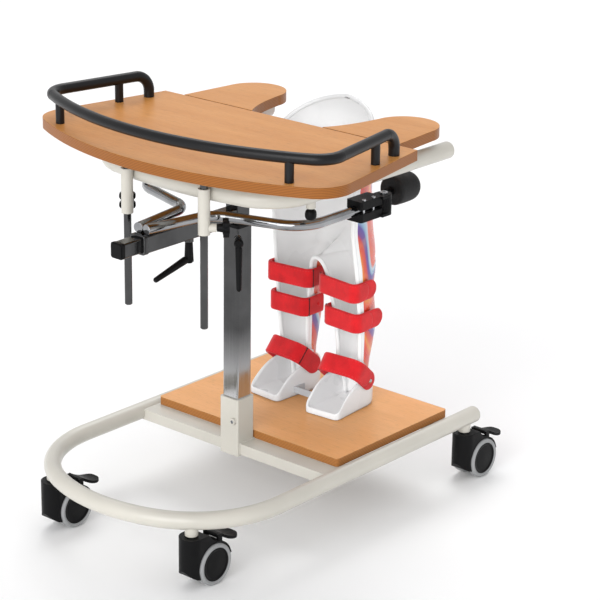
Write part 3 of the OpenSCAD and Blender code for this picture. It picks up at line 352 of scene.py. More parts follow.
class Finish:
    """What every finish has: a name, a material and the shared effects."""

    name: str

    def start(self) -> tuple[Material, Shade, Node]:
        """Makes an empty material.

        Returns:
            The material, a Shade for its tree and its Principled BSDF.
        """
        material = bpy.data.materials.new(self.name)
        material.use_nodes = True
        return material, Shade(material.node_tree), material.node_tree.nodes["Principled BSDF"]

    @staticmethod
    def use(shade: Shade, group: Tree, **values: Any) -> bpy.types.NodeOutputs:
        """Places a shared group with its own values and returns its outputs."""
        return shade.node("ShaderNodeGroup", {"node_tree": group}, **values).outputs

    @staticmethod
    def bump(shade: Shade, height: Any, strength: float, depth: float, normal: Any = None) -> Socket:
        """Turns a height into a normal.

        Args:
            shade: The material's nodes.
            height: The height's output.
            strength: How strongly it shows.
            depth: Its depth in metres.
            normal: A rounded normal to start from.

        Returns:
            The normal.
        """
        made = shade.node("ShaderNodeBump", Strength=strength, Distance=depth, Height=height)
        if normal is not None:
            shade.feed(made.inputs["Normal"], normal)
        return made.outputs["Normal"]


@dataclass(frozen=True)
class Coat(Finish):
    """Powder coat or moulded plastic: grained, with soft edges and a little dust."""

    name: str
    colour: Colour
    rubbed: Colour
    rough: tuple[float, float]
    grain: float
    depth: float
    edge: float = 0.0012
    wear: float = 0.35
    dust: float = 0.06
    specular: float = 0.5
    coat: float = 0.0

    def make(self, effects: EffectGroups) -> Material:
        """Builds the material from the shared effects."""
        material, s, bsdf = self.start()
        edge = self.use(s, effects.edge, Radius=self.edge, Amount=self.wear)
        grain = self.use(s, effects.grain, Scale=self.grain, Drift_Scale=9.0)
        dust = self.use(s, effects.dust, Amount=self.dust)
        toned = s.mix(grain["Drift"], tint(self.colour, 0.9), self.colour)
        rubbed = s.mix(edge["Mask"], toned, self.rubbed)
        s.fill(bsdf, Base_Color=s.mix(dust["Mask"], rubbed, (0.60, 0.58, 0.55)),
               Roughness=s.span(grain["Drift"], 0.0, 1.0, *self.rough), Specular_IOR_Level=self.specular,
               Coat_Weight=self.coat, Coat_Roughness=0.12,
               Normal=self.bump(s, grain["Height"], 0.35, self.depth, edge["Normal"]))
        return material


@dataclass(frozen=True)
class Metal(Finish):
    """Plated metal with faint rubbing marks along its length, and a painted reflection that makes it lighter
    over a foot if one is given.
    """

    name: str
    colour: Colour
    dull: Colour
    rough: tuple[float, float]
    draw: tuple[float, float, float] = (300.0, 300.0, 6.0)
    edge: float = 0.0014
    foot: Optional[float] = None
    foot_reach: float = 0.13
    brightest: float = 0.8

    def make(self, effects: EffectGroups) -> Material:
        """Builds the material from the shared effects."""
        material, s, bsdf = self.start()
        edge = self.use(s, effects.edge, Radius=self.edge, Amount=1.0)
        grain = self.use(s, effects.grain, Scale=500.0, Drift_Scale=18.0)
        marks = s.noise(s.stretch(s.coords(), self.draw), 1.0, 4.0, 0.6)
        toned = s.mix(grain["Drift"], self.dull, self.colour)
        if self.foot is not None:
            # Painted reflection: much lighter metal over a short reach above the foot, for the bright
            # reflection low on the column.
            near = s.span(s.upward(s.coords()), self.foot, self.foot + self.foot_reach, 1.0, 0.0)
            painted_reflection = s.math("ADD", near, s.span(marks, 0.3, 0.7, -0.04, 0.04), clamp=True)
            toned = s.mix(s.math("POWER", painted_reflection, 1.3), toned, tint(self.colour, 6.5, self.brightest))
        s.fill(bsdf, Base_Color=s.mix(edge["Mask"], toned, tint(self.colour, 4.0, self.brightest)),
               Metallic=1.0, Roughness=s.span(marks, 0.3, 0.7, *self.rough),
               Normal=self.bump(s, marks, 0.06, 0.0002, edge["Normal"]))
        return material


@dataclass(frozen=True)
class Beech(Finish):
    """Clear-lacquered beech laminate with striped edges."""

    name: str
    light: Colour
    dark: Colour
    low: float
    layer: float = 0.0013
    stripes: tuple[Colour, Colour] = ((0.34, 0.29, 0.23), (0.66, 0.57, 0.46))
    bounce: Colour = (0.46, 0.42, 0.39)

    def make(self, effects: EffectGroups) -> Material:
        """Builds the material from the shared effects."""
        material, s, bsdf = self.start()
        grain = self.use(s, effects.wood, Scale=1.0)
        ply = self.use(s, effects.ply, Low=self.low, Layer=self.layer)
        edge = self.use(s, effects.edge, Radius=0.0022, Amount=0.55)
        dust = self.use(s, effects.dust, Amount=0.03)
        face = s.mix(grain["Tone"], self.dark, self.light)
        face = s.mix(s.math("MULTIPLY", grain["Fleck"], 0.35), face, tint(self.dark, 0.55))
        stripes = [tuple(c * k for c, k in zip(self.dark, share)) for share in self.stripes]
        stripe = s.mix(ply["Stripe"], *stripes)
        body = s.mix(ply["Edge"], face, stripe)
        body = s.mix(edge["Mask"], body, tint(self.light, 1.35))
        body = s.mix(dust["Mask"], body, (0.7, 0.66, 0.6))
        s.fill(bsdf, Base_Color=s.mix(s.bounced(), body, self.bounce),
               Roughness=s.span(grain["Tone"], 0.0, 1.0, 0.42, 0.34),
               Coat_Weight=0.08, Coat_Roughness=0.22, Specular_IOR_Level=0.22,
               Normal=self.bump(s, grain["Height"], 0.12, 0.0002, edge["Normal"]))
        return material


@dataclass(frozen=True)
class ShellPlastic(Finish):
    """Glossy white moulded plastic, bare or with a printed film of slanting colour waves."""

    name: str
    colour: Colour
    printed: bool = False
    edge: float = 0.0015
    # Level above which painted shade greys the colour, in metres; 0 for none.
    head: float = 0.0

    def make(self, effects: EffectGroups) -> Material:
        """Builds the material from the shared effects, with painted shade that makes it greyer over the
        head's level if one is given.
        """
        material, s, bsdf = self.start()
        grain = self.use(s, effects.grain, Scale=140.0, Drift_Scale=10.0)
        dust = self.use(s, effects.dust, Amount=0.05)
        edge = self.use(s, effects.edge, Radius=self.edge, Amount=0.15)
        body = s.mix(grain["Drift"], tint(self.colour, 0.95), self.colour)
        # Painted shade: the colour goes greyer from just under the head's level upwards.
        if self.head:
            shade = s.span(s.upward(s.coords()), self.head - 0.03, self.head + 0.02)
            body = s.mix(shade, body, tint(self.colour, 0.70))
        if self.printed:
            body = self._waves(s)
        body = s.mix(edge["Mask"], body, (0.97, 0.97, 0.97))
        s.fill(bsdf, Base_Color=s.mix(dust["Mask"], body, (0.62, 0.61, 0.6)),
               Roughness=s.span(grain["Drift"], 0.0, 1.0, 0.24, 0.32), Coat_Weight=0.3, Coat_Roughness=0.1,
               Normal=self.bump(s, grain["Height"], 0.08, 0.0006, edge["Normal"]))
        return material

    @staticmethod
    def _waves(s: Shade) -> Socket:
        """Lays slanting waves in warm colours with cool crests between them."""
        spot = s.coords()
        sway = s.math("MULTIPLY", s.noise(s.stretch(spot, (1.0, 1.0, 0.6)), 13.0, 0.5), 2.0)
        phase = s.math("FRACT", s.math("ADD", s.dot(spot, (6.0, 10.0, 7.0)), sway))
        hues = ((0.0, (0.70, 0.025, 0.012)), (0.14, (0.82, 0.08, 0.008)), (0.26, (0.86, 0.26, 0.012)),
                (0.34, (0.80, 0.09, 0.008)), (0.50, (0.66, 0.018, 0.02)), (0.56, (0.16, 0.012, 0.24)),
                (0.66, (0.07, 0.03, 0.34)), (0.70, (0.22, 0.42, 0.62)), (0.77, (0.50, 0.62, 0.72)),
                (0.82, (0.76, 0.12, 0.06)), (0.88, (0.80, 0.06, 0.012)), (1.0, (0.70, 0.025, 0.012)))
        light = s.span(s.noise(spot, 30.0, 2.0), 0.52, 0.72, 0.0, 0.3)
        return s.mix(light, s.ramp(phase, hues), (0.86, 0.48, 0.06))


@dataclass(frozen=True)
class Felt(Finish):
    """Brushed strap fabric with short fibres."""

    name: str
    colour: Colour
    dark: Colour
    bounce: Colour = (0.40, 0.33, 0.33)

    def make(self, effects: EffectGroups) -> Material:
        """Builds the material from the shared effects."""
        material, s, bsdf = self.start()
        grain = self.use(s, effects.grain, Scale=1400.0, Drift_Scale=40.0)
        nap = s.noise(s.stretch(s.coords(), (900.0, 900.0, 260.0)), 1.0, 3.0, 0.7)
        shade = s.math("ADD", s.math("MULTIPLY", nap, 0.6), s.math("MULTIPLY", grain["Drift"], 0.4))
        body = s.mix(s.span(shade, 0.25, 0.7), self.dark, self.colour)
        height = s.math("ADD", nap, s.math("MULTIPLY", grain["Height"], 0.6))
        s.fill(bsdf, Base_Color=s.mix(s.bounced(), body, self.bounce),
               Roughness=s.span(nap, 0.3, 0.7, 0.7, 0.9),
               Sheen_Weight=0.25, Sheen_Roughness=0.5, Specular_IOR_Level=0.25,
               Normal=self.bump(s, height, 0.5, 0.0006))
        return material


@dataclass(frozen=True)
class Pebbled(Finish):
    """Foam skin or tread rubber with small cells."""

    name: str
    colour: Colour
    lit: Colour
    cell: float
    depth: float
    rough: tuple[float, float] = (0.6, 0.8)

    def make(self, effects: EffectGroups) -> Material:
        """Builds the material from the shared effects."""
        material, s, bsdf = self.start()
        grain = self.use(s, effects.grain, Scale=900.0, Drift_Scale=14.0)
        dust = self.use(s, effects.dust, Amount=0.05)
        cells = s.node("ShaderNodeTexVoronoi", {"feature": "SMOOTH_F1"}, Vector=s.coords(), Scale=self.cell)
        dome = s.span(cells.outputs["Distance"], 0.0, 0.7, 1.0, 0.0)
        toned = s.mix(s.math("MULTIPLY", dome, grain["Drift"]), self.colour, self.lit)
        s.fill(bsdf, Base_Color=s.mix(dust["Mask"], toned, (0.4, 0.39, 0.37)), Specular_IOR_Level=0.35,
               Roughness=s.span(grain["Drift"], 0.0, 1.0, *self.rough),
               Normal=self.bump(s, dome, 0.6, self.depth))
        return material


@dataclass
class Palette:
    """Every finish of the frame, made once and handed out by name."""

    effects: EffectGroups = field(default_factory=EffectGroups)
    made: dict[str, Material] = field(default_factory=dict)

    def __post_init__(self) -> None:
        """Makes the materials."""
        table_low, plate_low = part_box("table_board")[0].z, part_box("foot_plate")[0].z
        # Both chromes are painted reflections: the plain chrome is set dark for the dark reflections of the
        # upright rods and column, and the bow tubes get a lighter copy for the bright sky they reflect.
        plating_painted_dark_reflection = ((0.092, 0.092, 0.093), (0.062, 0.062, 0.063), (0.08, 0.18))
        finishes = (
            Coat("cream_coat", (0.62, 0.595, 0.53), (0.78, 0.76, 0.70), (0.28, 0.36), 900.0, 0.0003,
                 coat=0.2),
            Coat("black_coat", (0.006, 0.006, 0.007), (0.02, 0.02, 0.021), (0.30, 0.38), 1100.0, 0.0003,
                 dust=0.003, specular=0.3),
            Coat("black_plastic", (0.006, 0.006, 0.0065), (0.03, 0.03, 0.031), (0.36, 0.46), 1500.0, 0.0004,
                 dust=0.002, specular=0.10),
            Coat("grey_plastic", (0.60, 0.61, 0.63), (0.75, 0.75, 0.76), (0.38, 0.46), 1200.0, 0.0003),
            Metal("chrome", *plating_painted_dark_reflection),
            # The column's chrome has a painted reflection: lighter just above the socket's top.
            Metal("chrome_column", *plating_painted_dark_reflection, foot=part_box("column_socket")[1].z),
            Metal("chrome_bright", (0.36, 0.365, 0.375), (0.25, 0.255, 0.265), (0.06, 0.14),
                  (300.0, 6.0, 300.0)),
            Metal("zinc", (0.52, 0.53, 0.55), (0.40, 0.41, 0.43), (0.2, 0.34), (400.0, 400.0, 400.0), 0.0003),
            Beech("beech_table", (0.69, 0.302, 0.074), (0.58, 0.232, 0.050), table_low),
            # The plate's beech is more orange than the table's, and also made lighter to paint in light where
            # the table shades it.
            Beech("beech_plate", (0.86, 0.42, 0.155), (0.76, 0.355, 0.120), plate_low),
            # The plain white shell gets painted shade above the table's underside.
            ShellPlastic("shell_white", (0.985, 0.985, 0.985), head=table_low),
            ShellPlastic("shell_print", (0.95, 0.95, 0.955), True),
            ShellPlastic("trough_white", (0.95, 0.95, 0.955), edge=0.0024),
            Felt("strap_red", (0.78, 0.012, 0.018), (0.56, 0.006, 0.011)),
            Felt("strap_thread", (0.84, 0.05, 0.055), (0.6, 0.012, 0.016)),
            # Near-black felt for the painted shadow in the gap under a flap's cut end.
            Felt("strap_slit", (0.06, 0.004, 0.005), (0.03, 0.002, 0.003)),
            Pebbled("foam", (0.006, 0.006, 0.0065), (0.018, 0.018, 0.019), 420.0, 0.0006),
            Pebbled("tread", (0.30, 0.305, 0.31), (0.38, 0.385, 0.39), 700.0, 0.0003),
        )
        for finish in finishes:
            self.made[finish.name] = finish.make(self.effects)

    def __getitem__(self, name: str) -> Material:
        """The material of that name."""
        return self.made[name]


class MeshWork:
    """Makes mesh objects from points and faces in the row frame."""

    @staticmethod
    def make(name: str, points: Iterable[Vector], faces: Sequence[Sequence[int]]) -> Piece:
        """Makes one smooth object and links it to the scene.

        Args:
            name: The piece's name.
            points: Its points in the row frame, in metres.
            faces: Its faces as lists of point numbers.

        Returns:
            The new object.
        """
        mesh = bpy.data.meshes.new(name)
        mesh.from_pydata([tuple(p) for p in points], [], faces)
        mesh.update()
        mesh.polygons.foreach_set("use_smooth", [True] * len(mesh.polygons))
        return link(name, mesh)

    @staticmethod
    def rings(count: int, around: int) -> list[list[int]]:
        """Faces of a skin through closed rings of points, with both ends closed.

        Args:
            count: How many rings there are.
            around: Points in each ring.

        Returns:
            The faces.
        """
        faces = [[k * around + i, k * around + (i + 1) % around,
                  (k + 1) * around + (i + 1) % around, (k + 1) * around + i]
                 for k in range(count - 1) for i in range(around)]
        faces.append(list(reversed(range(around))))
        faces.append([(count - 1) * around + i for i in range(around)])
        return faces

    @staticmethod
    def subdivide(piece: Piece) -> None:
        """Adds one level of subdivision surface."""
        modifier = piece.modifiers.new("smooth", "SUBSURF")
        modifier.levels = modifier.render_levels = 1

    @staticmethod
    def tube(path: Sequence[Vector], radius: Callable[[int], float], around: int) -> Skin:
        """A round tube along a path of points.

        Args:
            path: Points in the row frame.
            radius: The radius at each point, by number.
            around: Points in each ring.

        Returns:
            The points and the faces.
        """
        points: list[Vector] = []
        first = (path[1] - path[0]).orthogonal()
        for k, spot in enumerate(path):
            ahead = (path[min(k + 1, len(path) - 1)] - path[max(k - 1, 0)]).normalized()
            first = (first - ahead * first.dot(ahead)).normalized()
            second = ahead.cross(first)
            for i in range(around):
                turn = 2 * math.pi * i / around
                points.append(spot + (first * math.cos(turn) + second * math.sin(turn)) * radius(k))
        return points, MeshWork.rings(len(path), around)


@dataclass
class StandingShell:
    """The moulded shell: two leg channels that flow into a trunk bowl, open to the front.

    Lengths are in millimetres. The four tables run over the share of the height: half the width, half the gap
    between the legs, where the rim lies and where the back lies.
    """

    height: float = 556.0
    top: float = 548.0
    foot: float = 8.4
    wall: float = 6.0
    around: int = 26
    counts: tuple[int, int, int, int] = (26, 12, 20, 20)
    roll: float = 3.9
    roll_ahead: float = 1.2
    roll_inset: float = 0.7
    arch: tuple[float, float] = (228.0, 268.0)
    turn_in: float = 8.0
    turn_from: tuple[float, float] = (40.0, 110.0)
    turn_fade: float = 40.0
    margin: float = 6.0
    seam: float = 0.4
    free_edge: float = 2.0
    joined: float = 0.62
    head: float = 0.8
    widest_opening: float = 87.0
    draw_back: tuple[float, float, float, float] = (0.036, 0.0303, 0.19, 0.01514)
    out: Table = ((0, 88), (0.1, 89), (0.2, 94), (0.27, 96), (0.39, 95.5), (0.47, 95.5), (0.6, 92),
                  (0.72, 95), (0.84, 104), (1, 109))
    gap: Table = ((0, 36), (0.18, 36), (0.27, 33.5), (0.354, 27), (0.41, 19), (1, 19))
    rim: Table = ((0, 254), (0.07, 250), (0.15, 225), (0.27, 219), (0.4, 213), (0.49, 206), (0.6, 198),
                  (0.8, 200), (1, 204))
    back: Table = ((0, 263), (0.12, 264), (0.27, 284), (0.39, 277), (0.49, 293), (0.6, 314), (0.79, 296),
                   (0.93, 290), (1, 289))

    def inside(self, h: float) -> float:
        """Half the gap between the legs at a height over the plate, with a round arch at its top."""
        low, high = self.arch
        share = min(1.0, max(0.0, (h - low) / (high - low)))
        return smooth_lookup(h / self.height, self.gap) * math.sqrt(1 - share ** 2)

    def axis(self, h: float) -> float:
        """Distance of a channel's axis from the middle, at a height over the plate."""
        top = self.arch[1]
        if h < top:
            return (self.outside(h) + self.inside(h)) / 2
        return self.outside(top) / 2 * (1 - ease(h, top, self.joined * self.height))

    def outside(self, h: float) -> float:
        """Half width over the outside of the mid surface at a height over the plate."""
        return smooth_lookup(h / self.height, self.out)

    def front(self, h: float) -> float:
        """Where the rim lies at a height over the plate."""
        return smooth_lookup(h / self.height, self.rim)

    def opening(self, h: float) -> float:
        """How far the rim draws back at a height, in degrees: slowly over the chest, fast at the head."""
        least, rate, start, bend = self.draw_back
        rest = (math.sqrt(least + rate * max(0.0, self.top - h)) - start) / bend
        return min(self.widest_opening, max(0.0, 90 - rest))

    def row(self, h: float) -> list[Vector]:
        """Points of the near half's mid surface at one height, from the outer rim inwards."""
        axis, front = self.axis(h), self.front(h)
        wide = self.outside(h) - axis
        deep = smooth_lookup(h / self.height, self.back) - front
        start = math.radians(self.opening(h))
        stop = math.acos(max(-1.0, -axis / wide))
        turns = (start + (stop - start) * i / self.around for i in range(self.around + 1))
        low, high = self.arch
        lean = self.turn_in / 2 * ease(h, *self.turn_from) * (1 - ease(h, low, high + self.turn_fade))
        return [place(axis + wide * math.cos(t), front + deep * math.sin(t) + lean * (1 - math.cos(t)),
                      PLATE_TOP + h) for t in turns]

    def rows(self) -> list[list[Vector]]:
        """The near half's rows of points from the foot to the head, closer together at the head."""
        (low, high), head = self.arch, self.head * self.height
        legs, arch, trunk, top = self.counts
        levels = [self.foot + (low - self.foot) * k / legs for k in range(legs)]
        levels += [low + (high - low) * math.sin(math.pi / 2 * k / arch) for k in range(arch)]
        levels += [high + (head - high) * k / trunk for k in range(trunk)]
        levels += [head + (self.top - head) * math.sin(math.pi / 2 * k / top) for k in range(top + 1)]
        return [self.row(h) for h in levels]

    def rim_bead(self, name: str, near: Sequence[Vector], palette: Palette) -> Piece:
        """The rolled edge along a free rim, up the near side and down the far side.

        Args:
            name: The piece's name.
            near: The rim's points on the near side, from the bottom to the top.
            palette: The finishes.

        Returns:
            The bead.
        """
        path = list(near) + [Vector((-p.x, p.y, p.z)) for p in reversed(near) if p.x > self.seam * MM]
        path = [p + Vector((0, -self.roll_ahead * MM, 0)) for p in path]
        bead = MeshWork.make(name, *MeshWork.tube(path, lambda i: self.roll * MM, 12))
        bead.data.materials.append(palette["shell_white"])
        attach(bead, Body.BASE.value)
        return bead

    def skin(self, rows: Sequence[Sequence[Vector]]) -> Skin:
        """Both halves of the mid surface, joined along the middle.

        Args:
            rows: The near half's rows of points.

        Returns:
            The points and the faces, the near half's first.
        """
        points: list[Vector] = []
        faces: list[list[int]] = []
        number: dict[tuple[Side, int, int], int] = {}
        for side in Side:
            for k, row in enumerate(rows):
                for i, spot in enumerate(row):
                    if side is Side.FAR and abs(spot.x) < self.seam * MM:
                        number[side, k, i] = number[Side.NEAR, k, i]
                        continue
                    number[side, k, i] = len(points)
                    points.append(Vector((spot.x * side.value, spot.y, spot.z)))
            for k in range(len(rows) - 1):
                for i in range(self.around):
                    face = [number[side, k + a, i + b] for a, b in ((0, 0), (0, 1), (1, 1), (1, 0))]
                    faces.append(face[::side.value])
        return points, faces

    def build(self, palette: Palette) -> Piece:
        """Builds the shell, with its print on the outside and its rolled rims.

        Args:
            palette: The finishes.

        Returns:
            The shell.
        """
        rows = self.rows()
        edge = self.free_edge * MM
        inset = Vector((self.roll_inset * MM, 0, 0))
        self.rim_bead("shell_rim_outer", [row[0] - inset * min(1.0, row[0].x * 20) for row in rows], palette)
        self.rim_bead("shell_rim_inner", [row[-1] + inset for row in rows if row[-1].x > edge], palette)
        shell = MeshWork.make("standing_shell_skin", *self.skin(rows))
        plain = []
        for row in rows[:-1]:
            ends = [row[0], row[-1]] if row[-1].x > edge else [row[0]]
            spots = [(a + b) / 2 for a, b in zip(row, row[1:])]
            plain += [int(min((p - end).length for end in ends) < self.margin * MM) for p in spots]
        shell.data.polygons.foreach_set("material_index", plain * 2)
        solid = shell.modifiers.new("wall", "SOLIDIFY")
        solid.thickness = self.wall * MM
        solid.offset = 0.0
        solid.material_offset = solid.material_offset_rim = 1
        MeshWork.subdivide(shell)
        for finish in ("shell_print", "shell_white", "shell_white"):
            shell.data.materials.append(palette[finish])
        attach(shell, Body.BASE.value)
        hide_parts("standing_shell")
        return shell


@dataclass
class FootTroughs:
    """The two moulded troughs that hold the feet: a low lip at the toe, full walls and a round heel."""

    leg_x: float = 62.0
    foot_y: float = 240.0
    toe_out: float = 4.0
    width: float = 74.0
    length: float = 134.0
    heel: float = 38.0
    corner: float = 9.0
    wall: float = 4.5
    sole: float = 8.0
    rise: float = 56.0
    rise_run: float = 84.0
    rise_power: float = 2.3
    toe_flat: float = 2.0
    lip: float = 13.0
    around: int = 72

    def outline(self, inset: float) -> list[tuple[float, float]]:
        """The trough seen from above, moved inwards.

        Args:
            inset: How far inside the outer face.

        Returns:
            Points at even shares of the way round.
        """
        half, back, toe = self.width / 2 - inset, self.heel - inset, self.heel - self.length + inset
        r = max(2.0, self.corner - inset)
        quarter = [(math.cos(a), math.sin(a)) for a in (math.pi * i / 16 for i in range(9))]
        heel = [math.pi * i / 24 for i in range(25)]
        path = [(half * math.cos(a), back - half + half * math.sin(a)) for a in heel]
        path += [(-half + r - r * c, toe + r - r * s) for c, s in quarter]
        path += [(half - r + r * s, toe + r - r * c) for c, s in quarter]
        path.append(path[0])
        sizes = [math.dist(a, b) for a, b in zip(path, path[1:])]
        spots, leg, done = [], 0, 0.0
        for k in range(self.around):
            want = sum(sizes) * k / self.around
            while done + sizes[leg] < want:
                done += sizes[leg]
                leg += 1
            t = (want - done) / sizes[leg] if sizes[leg] else 0.0
            (x0, y0), (x1, y1) = path[leg], path[leg + 1]
            spots.append((x0 + (x1 - x0) * t, y0 + (y1 - y0) * t))
        return spots

    def height(self, y: float) -> float:
        """The wall's height at a place along the foot: it rises fast behind the toe."""
        t = min(1.0, max(0.0, (y - (self.heel - self.length) - self.toe_flat) / self.rise_run))
        return self.lip + (self.rise - self.lip) * (1 - (1 - t) ** self.rise_power)

    def build(self, palette: Palette, side: Side) -> Piece:
        """Builds one trough.

        Args:
            palette: The finishes.
            side: The side that it is on.

        Returns:
            The trough.
        """
        turn = Matrix.Rotation(math.radians(self.toe_out), 4, "Z")
        w, sole = self.wall, self.sole
        rings = ((1.2, lambda h: 0.05), (0.0, lambda h: 1.4), (0.0, lambda h: h * 0.5),
                 (0.0, lambda h: h - 1.8), (0.7, lambda h: h - 0.5), (w / 2, lambda h: h),
                 (w - 0.7, lambda h: h - 0.5), (w, lambda h: h - 1.6), (w, lambda h: (h + sole) / 2),
                 (w + 0.3, lambda h: min(h - 1.7, sole + 3)), (w + 3.0, lambda h: sole + 0.3),
                 (w + 8.0, lambda h: sole))
        points = []
        walls = [self.height(y) for _, y in self.outline(0.0)]
        for inset, level in rings:
            for (x, y), h in zip(self.outline(inset), walls):
                spot = turn @ Vector((x, y, level(h)))
                spot += Vector((self.leg_x, self.foot_y, PLATE_TOP))
                points.append(place(side.value * spot.x, spot.y, spot.z))
        faces = [face[::side.value] for face in MeshWork.rings(len(rings), self.around)]
        trough = MeshWork.make(f"foot_trough_{side.word}", points, faces)
        MeshWork.subdivide(trough)
        trough.data.materials.append(palette["trough_white"])
        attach(trough, Body.BASE.value)
        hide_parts("foot_troughs")
        return trough


@dataclass
class Strap:
    """One padded strap: a band round the front of a leg, a flap with two seams and a rivet."""

    name: str
    inner: float
    outer: float
    front: float
    back: float
    width: float
    place_on: Callable[[Vector], Vector]
    thick: float = 5.0
    corner: float = 9.0
    tail: float = 0.0
    rivet_inside: bool = True
    pitch: float = 3.0
    across: int = 9
    flap_end: int = 6
    flap_lift: float = 0.8
    flap_thick: float = 2.4
    seam_lift: float = 1.6
    seam_share: float = 0.8
    stitch_r: float = 0.45
    # Radius of the dark tube that paints the shadow under the flap's cut end.
    slit_r: float = 1.15
    rivet_back: float = 16.0
    blunt: float = 0.4
    edge_power: int = 9
    end_thin: float = 0.7
    end_reach: float = 4.0

    def path(self, lift: float) -> list[Spot]:
        """Points and outward normals along the band, seen from above, from the inner end to the outer end.

        Args:
            lift: Distance outward from the band's middle.

        Returns:
            Pairs of point and normal, about a pitch apart.
        """
        gap = self.thick / 2 + lift
        x0, x1, y0 = self.inner - gap, self.outer + gap, self.front - gap
        r = self.corner + gap
        spots: list[Spot] = []

        def leg(start: Vector, stop: Vector, normal: Vector, count: int, last: int = 0) -> None:
            """Adds even points of a straight leg."""
            spots.extend((start.lerp(stop, i / count), normal) for i in range(count + last))

        def bend(x: float, first: float) -> None:
            """Adds a quarter turn round a corner, from an angle in degrees."""
            for i in range(10):
                turn = math.radians(first + 90 * i / 10)
                normal = Vector((math.cos(turn), math.sin(turn), 0))
                spots.append((Vector((x, y0 + r, 0)) + normal * r, normal))

        runs = max(4, int((self.back - y0 - r) / self.pitch))
        steps = max(4, int((x1 - x0 - 2 * r) / self.pitch))
        leg(Vector((x0, self.back, 0)), Vector((x0, y0 + r, 0)), Vector((-1, 0, 0)), runs)
        bend(x0 + r, 180)
        leg(Vector((x0 + r, y0, 0)), Vector((x1 - r, y0, 0)), Vector((0, -1, 0)), steps)
        bend(x1 - r, 270)
        leg(Vector((x1, y0 + r, 0)), Vector((x1, self.back + self.tail, 0)), Vector((1, 0, 0)), runs, 1)
        return spots

    def flap(self, lift: float) -> list[Spot]:
        """The part of the path that the flap covers, from the inner corner on, at a lift off the band."""
        start = max(4, int((self.back - self.front - self.corner) / self.pitch)) + 2
        return self.path(self.thick / 2 + lift)[start:-self.flap_end]

    def band(self, spots: Sequence[Spot], width: float, thick: float, cut: bool) -> Skin:
        """A soft band along a path, with round ends and firm edges.

        Args:
            spots: Points and normals along it.
            width: Its width.
            thick: Its thickness in the middle.
            cut: True where the first end is cut straight.

        Returns:
            The points in the row frame and the faces.
        """
        length = [0.0]
        for (a, _), (b, _) in zip(spots, spots[1:]):
            length.append(length[-1] + (b - a).length)
        points: list[Vector] = []
        for (spot, normal), done in zip(spots, length):
            end = (length[-1] - done if cut else min(done, length[-1] - done)) + self.blunt
            share = 1.0 if end > width / 2 else math.sqrt(1 - (1 - end / (width / 2)) ** 2)
            half = width / 2 * share
            full = thick / 2 * (self.end_thin + (1 - self.end_thin) * min(1.0, end / self.end_reach))
            for sign in (1, -1):
                for i in range(self.across + 1):
                    v = sign * (2 * i / self.across - 1)
                    puff = full * (1 - 0.5 * abs(v) ** self.edge_power)
                    points.append(self.place_on(spot + normal * (sign * puff) + Vector((0, 0, v * half))))
        return points, MeshWork.rings(len(spots), 2 * (self.across + 1))

    def slit(self, start: Spot, after: Spot) -> Skin:
        """A dark tube that paints the shadow in the gap where the flap's cut end lies on the band."""
        spot, normal = start
        before = (spot - after[0]).normalized()
        half = self.width / 2 - 1.2
        path = [spot - normal * 0.5 + before * 0.8 + Vector((0, 0, half * v)) for v in (-1, -0.5, 0, 0.5, 1)]
        return MeshWork.tube([self.place_on(p) for p in path], lambda i: self.slit_r * MM, 8)

    def seams(self) -> Skin:
        """Rows of stitches near both edges of the flap, as short raised dashes."""
        spots = self.flap(self.seam_lift)
        points: list[Vector] = []
        faces: list[list[int]] = []
        for v in (-self.seam_share, self.seam_share):
            rise = Vector((0, 0, v * self.width / 2))
            for (a, na), (b, nb) in list(zip(spots, spots[1:]))[1:len(spots) - 7:2]:
                dash = [a * (1 - t) + b * t + rise + (na * (1 - t) + nb * t).normalized() * lift
                        for t, lift in ((0.05, -0.5), (0.3, 0.35), (0.75, 0.35), (1.0, -0.5))]
                first = len(points)
                made, skin = MeshWork.tube([self.place_on(p) for p in dash], lambda i: self.stitch_r * MM, 6)
                points += made
                faces += [[first + n for n in face] for face in skin]
        return points, faces

    def rivet(self) -> Skin:
        """The flat round rivet that holds the band's fixed end."""
        way, face = (-1, self.inner - self.thick) if self.rivet_inside else (1, self.outer + self.thick)
        foot = Vector((face, self.back - self.rivet_back, 0))
        profile = ((4.0, -0.6), (4.0, 1.0), (3.6, 1.6), (2.8, 2.0), (0.5, 2.05))
        turns = [2 * math.pi * k / 18 for k in range(18)]
        points = [self.place_on(foot + Vector((way * lift, reach * math.cos(t), reach * math.sin(t))))
                  for reach, lift in profile for t in turns]
        return points, MeshWork.rings(len(profile), len(turns))

    def build(self, palette: Palette) -> list[Piece]:
        """Builds the band, its rivet, its flap, the stitches and a dark tube that paints the shadow under the
        flap's cut end.

        Args:
            palette: The finishes.

        Returns:
            The strap's pieces.
        """
        band = MeshWork.make(self.name, *self.band(self.path(0.0), self.width, self.thick, self.rivet_inside))
        rivet = MeshWork.make(f"{self.name}_rivet", *self.rivet())
        rivet.data.materials.append(palette["strap_red" if self.rivet_inside else "zinc"])
        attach(rivet, Body.BASE.value)
        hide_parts("strap_rivets")
        flap = self.flap(self.flap_lift)
        tab = MeshWork.make(f"{self.name}_tab", *self.band(flap, self.width - 1.5, self.flap_thick, True))
        seam = MeshWork.make(f"{self.name}_seam", *self.seams())
        # A dark tube paints the shadow in the gap under the flap's cut end.
        slit = MeshWork.make(f"{self.name}_slit", *self.slit(flap[0], flap[1]))
        for piece, finish in ((band, "strap_red"), (tab, "strap_red"), (seam, "strap_thread"),
                              (slit, "strap_slit")):
            piece.data.materials.append(palette[finish])
            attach(piece, Body.BASE.value)
        for piece in (band, tab):
            MeshWork.subdivide(piece)
        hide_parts("leg_straps")
        return [band, tab, seam, slit, rivet]


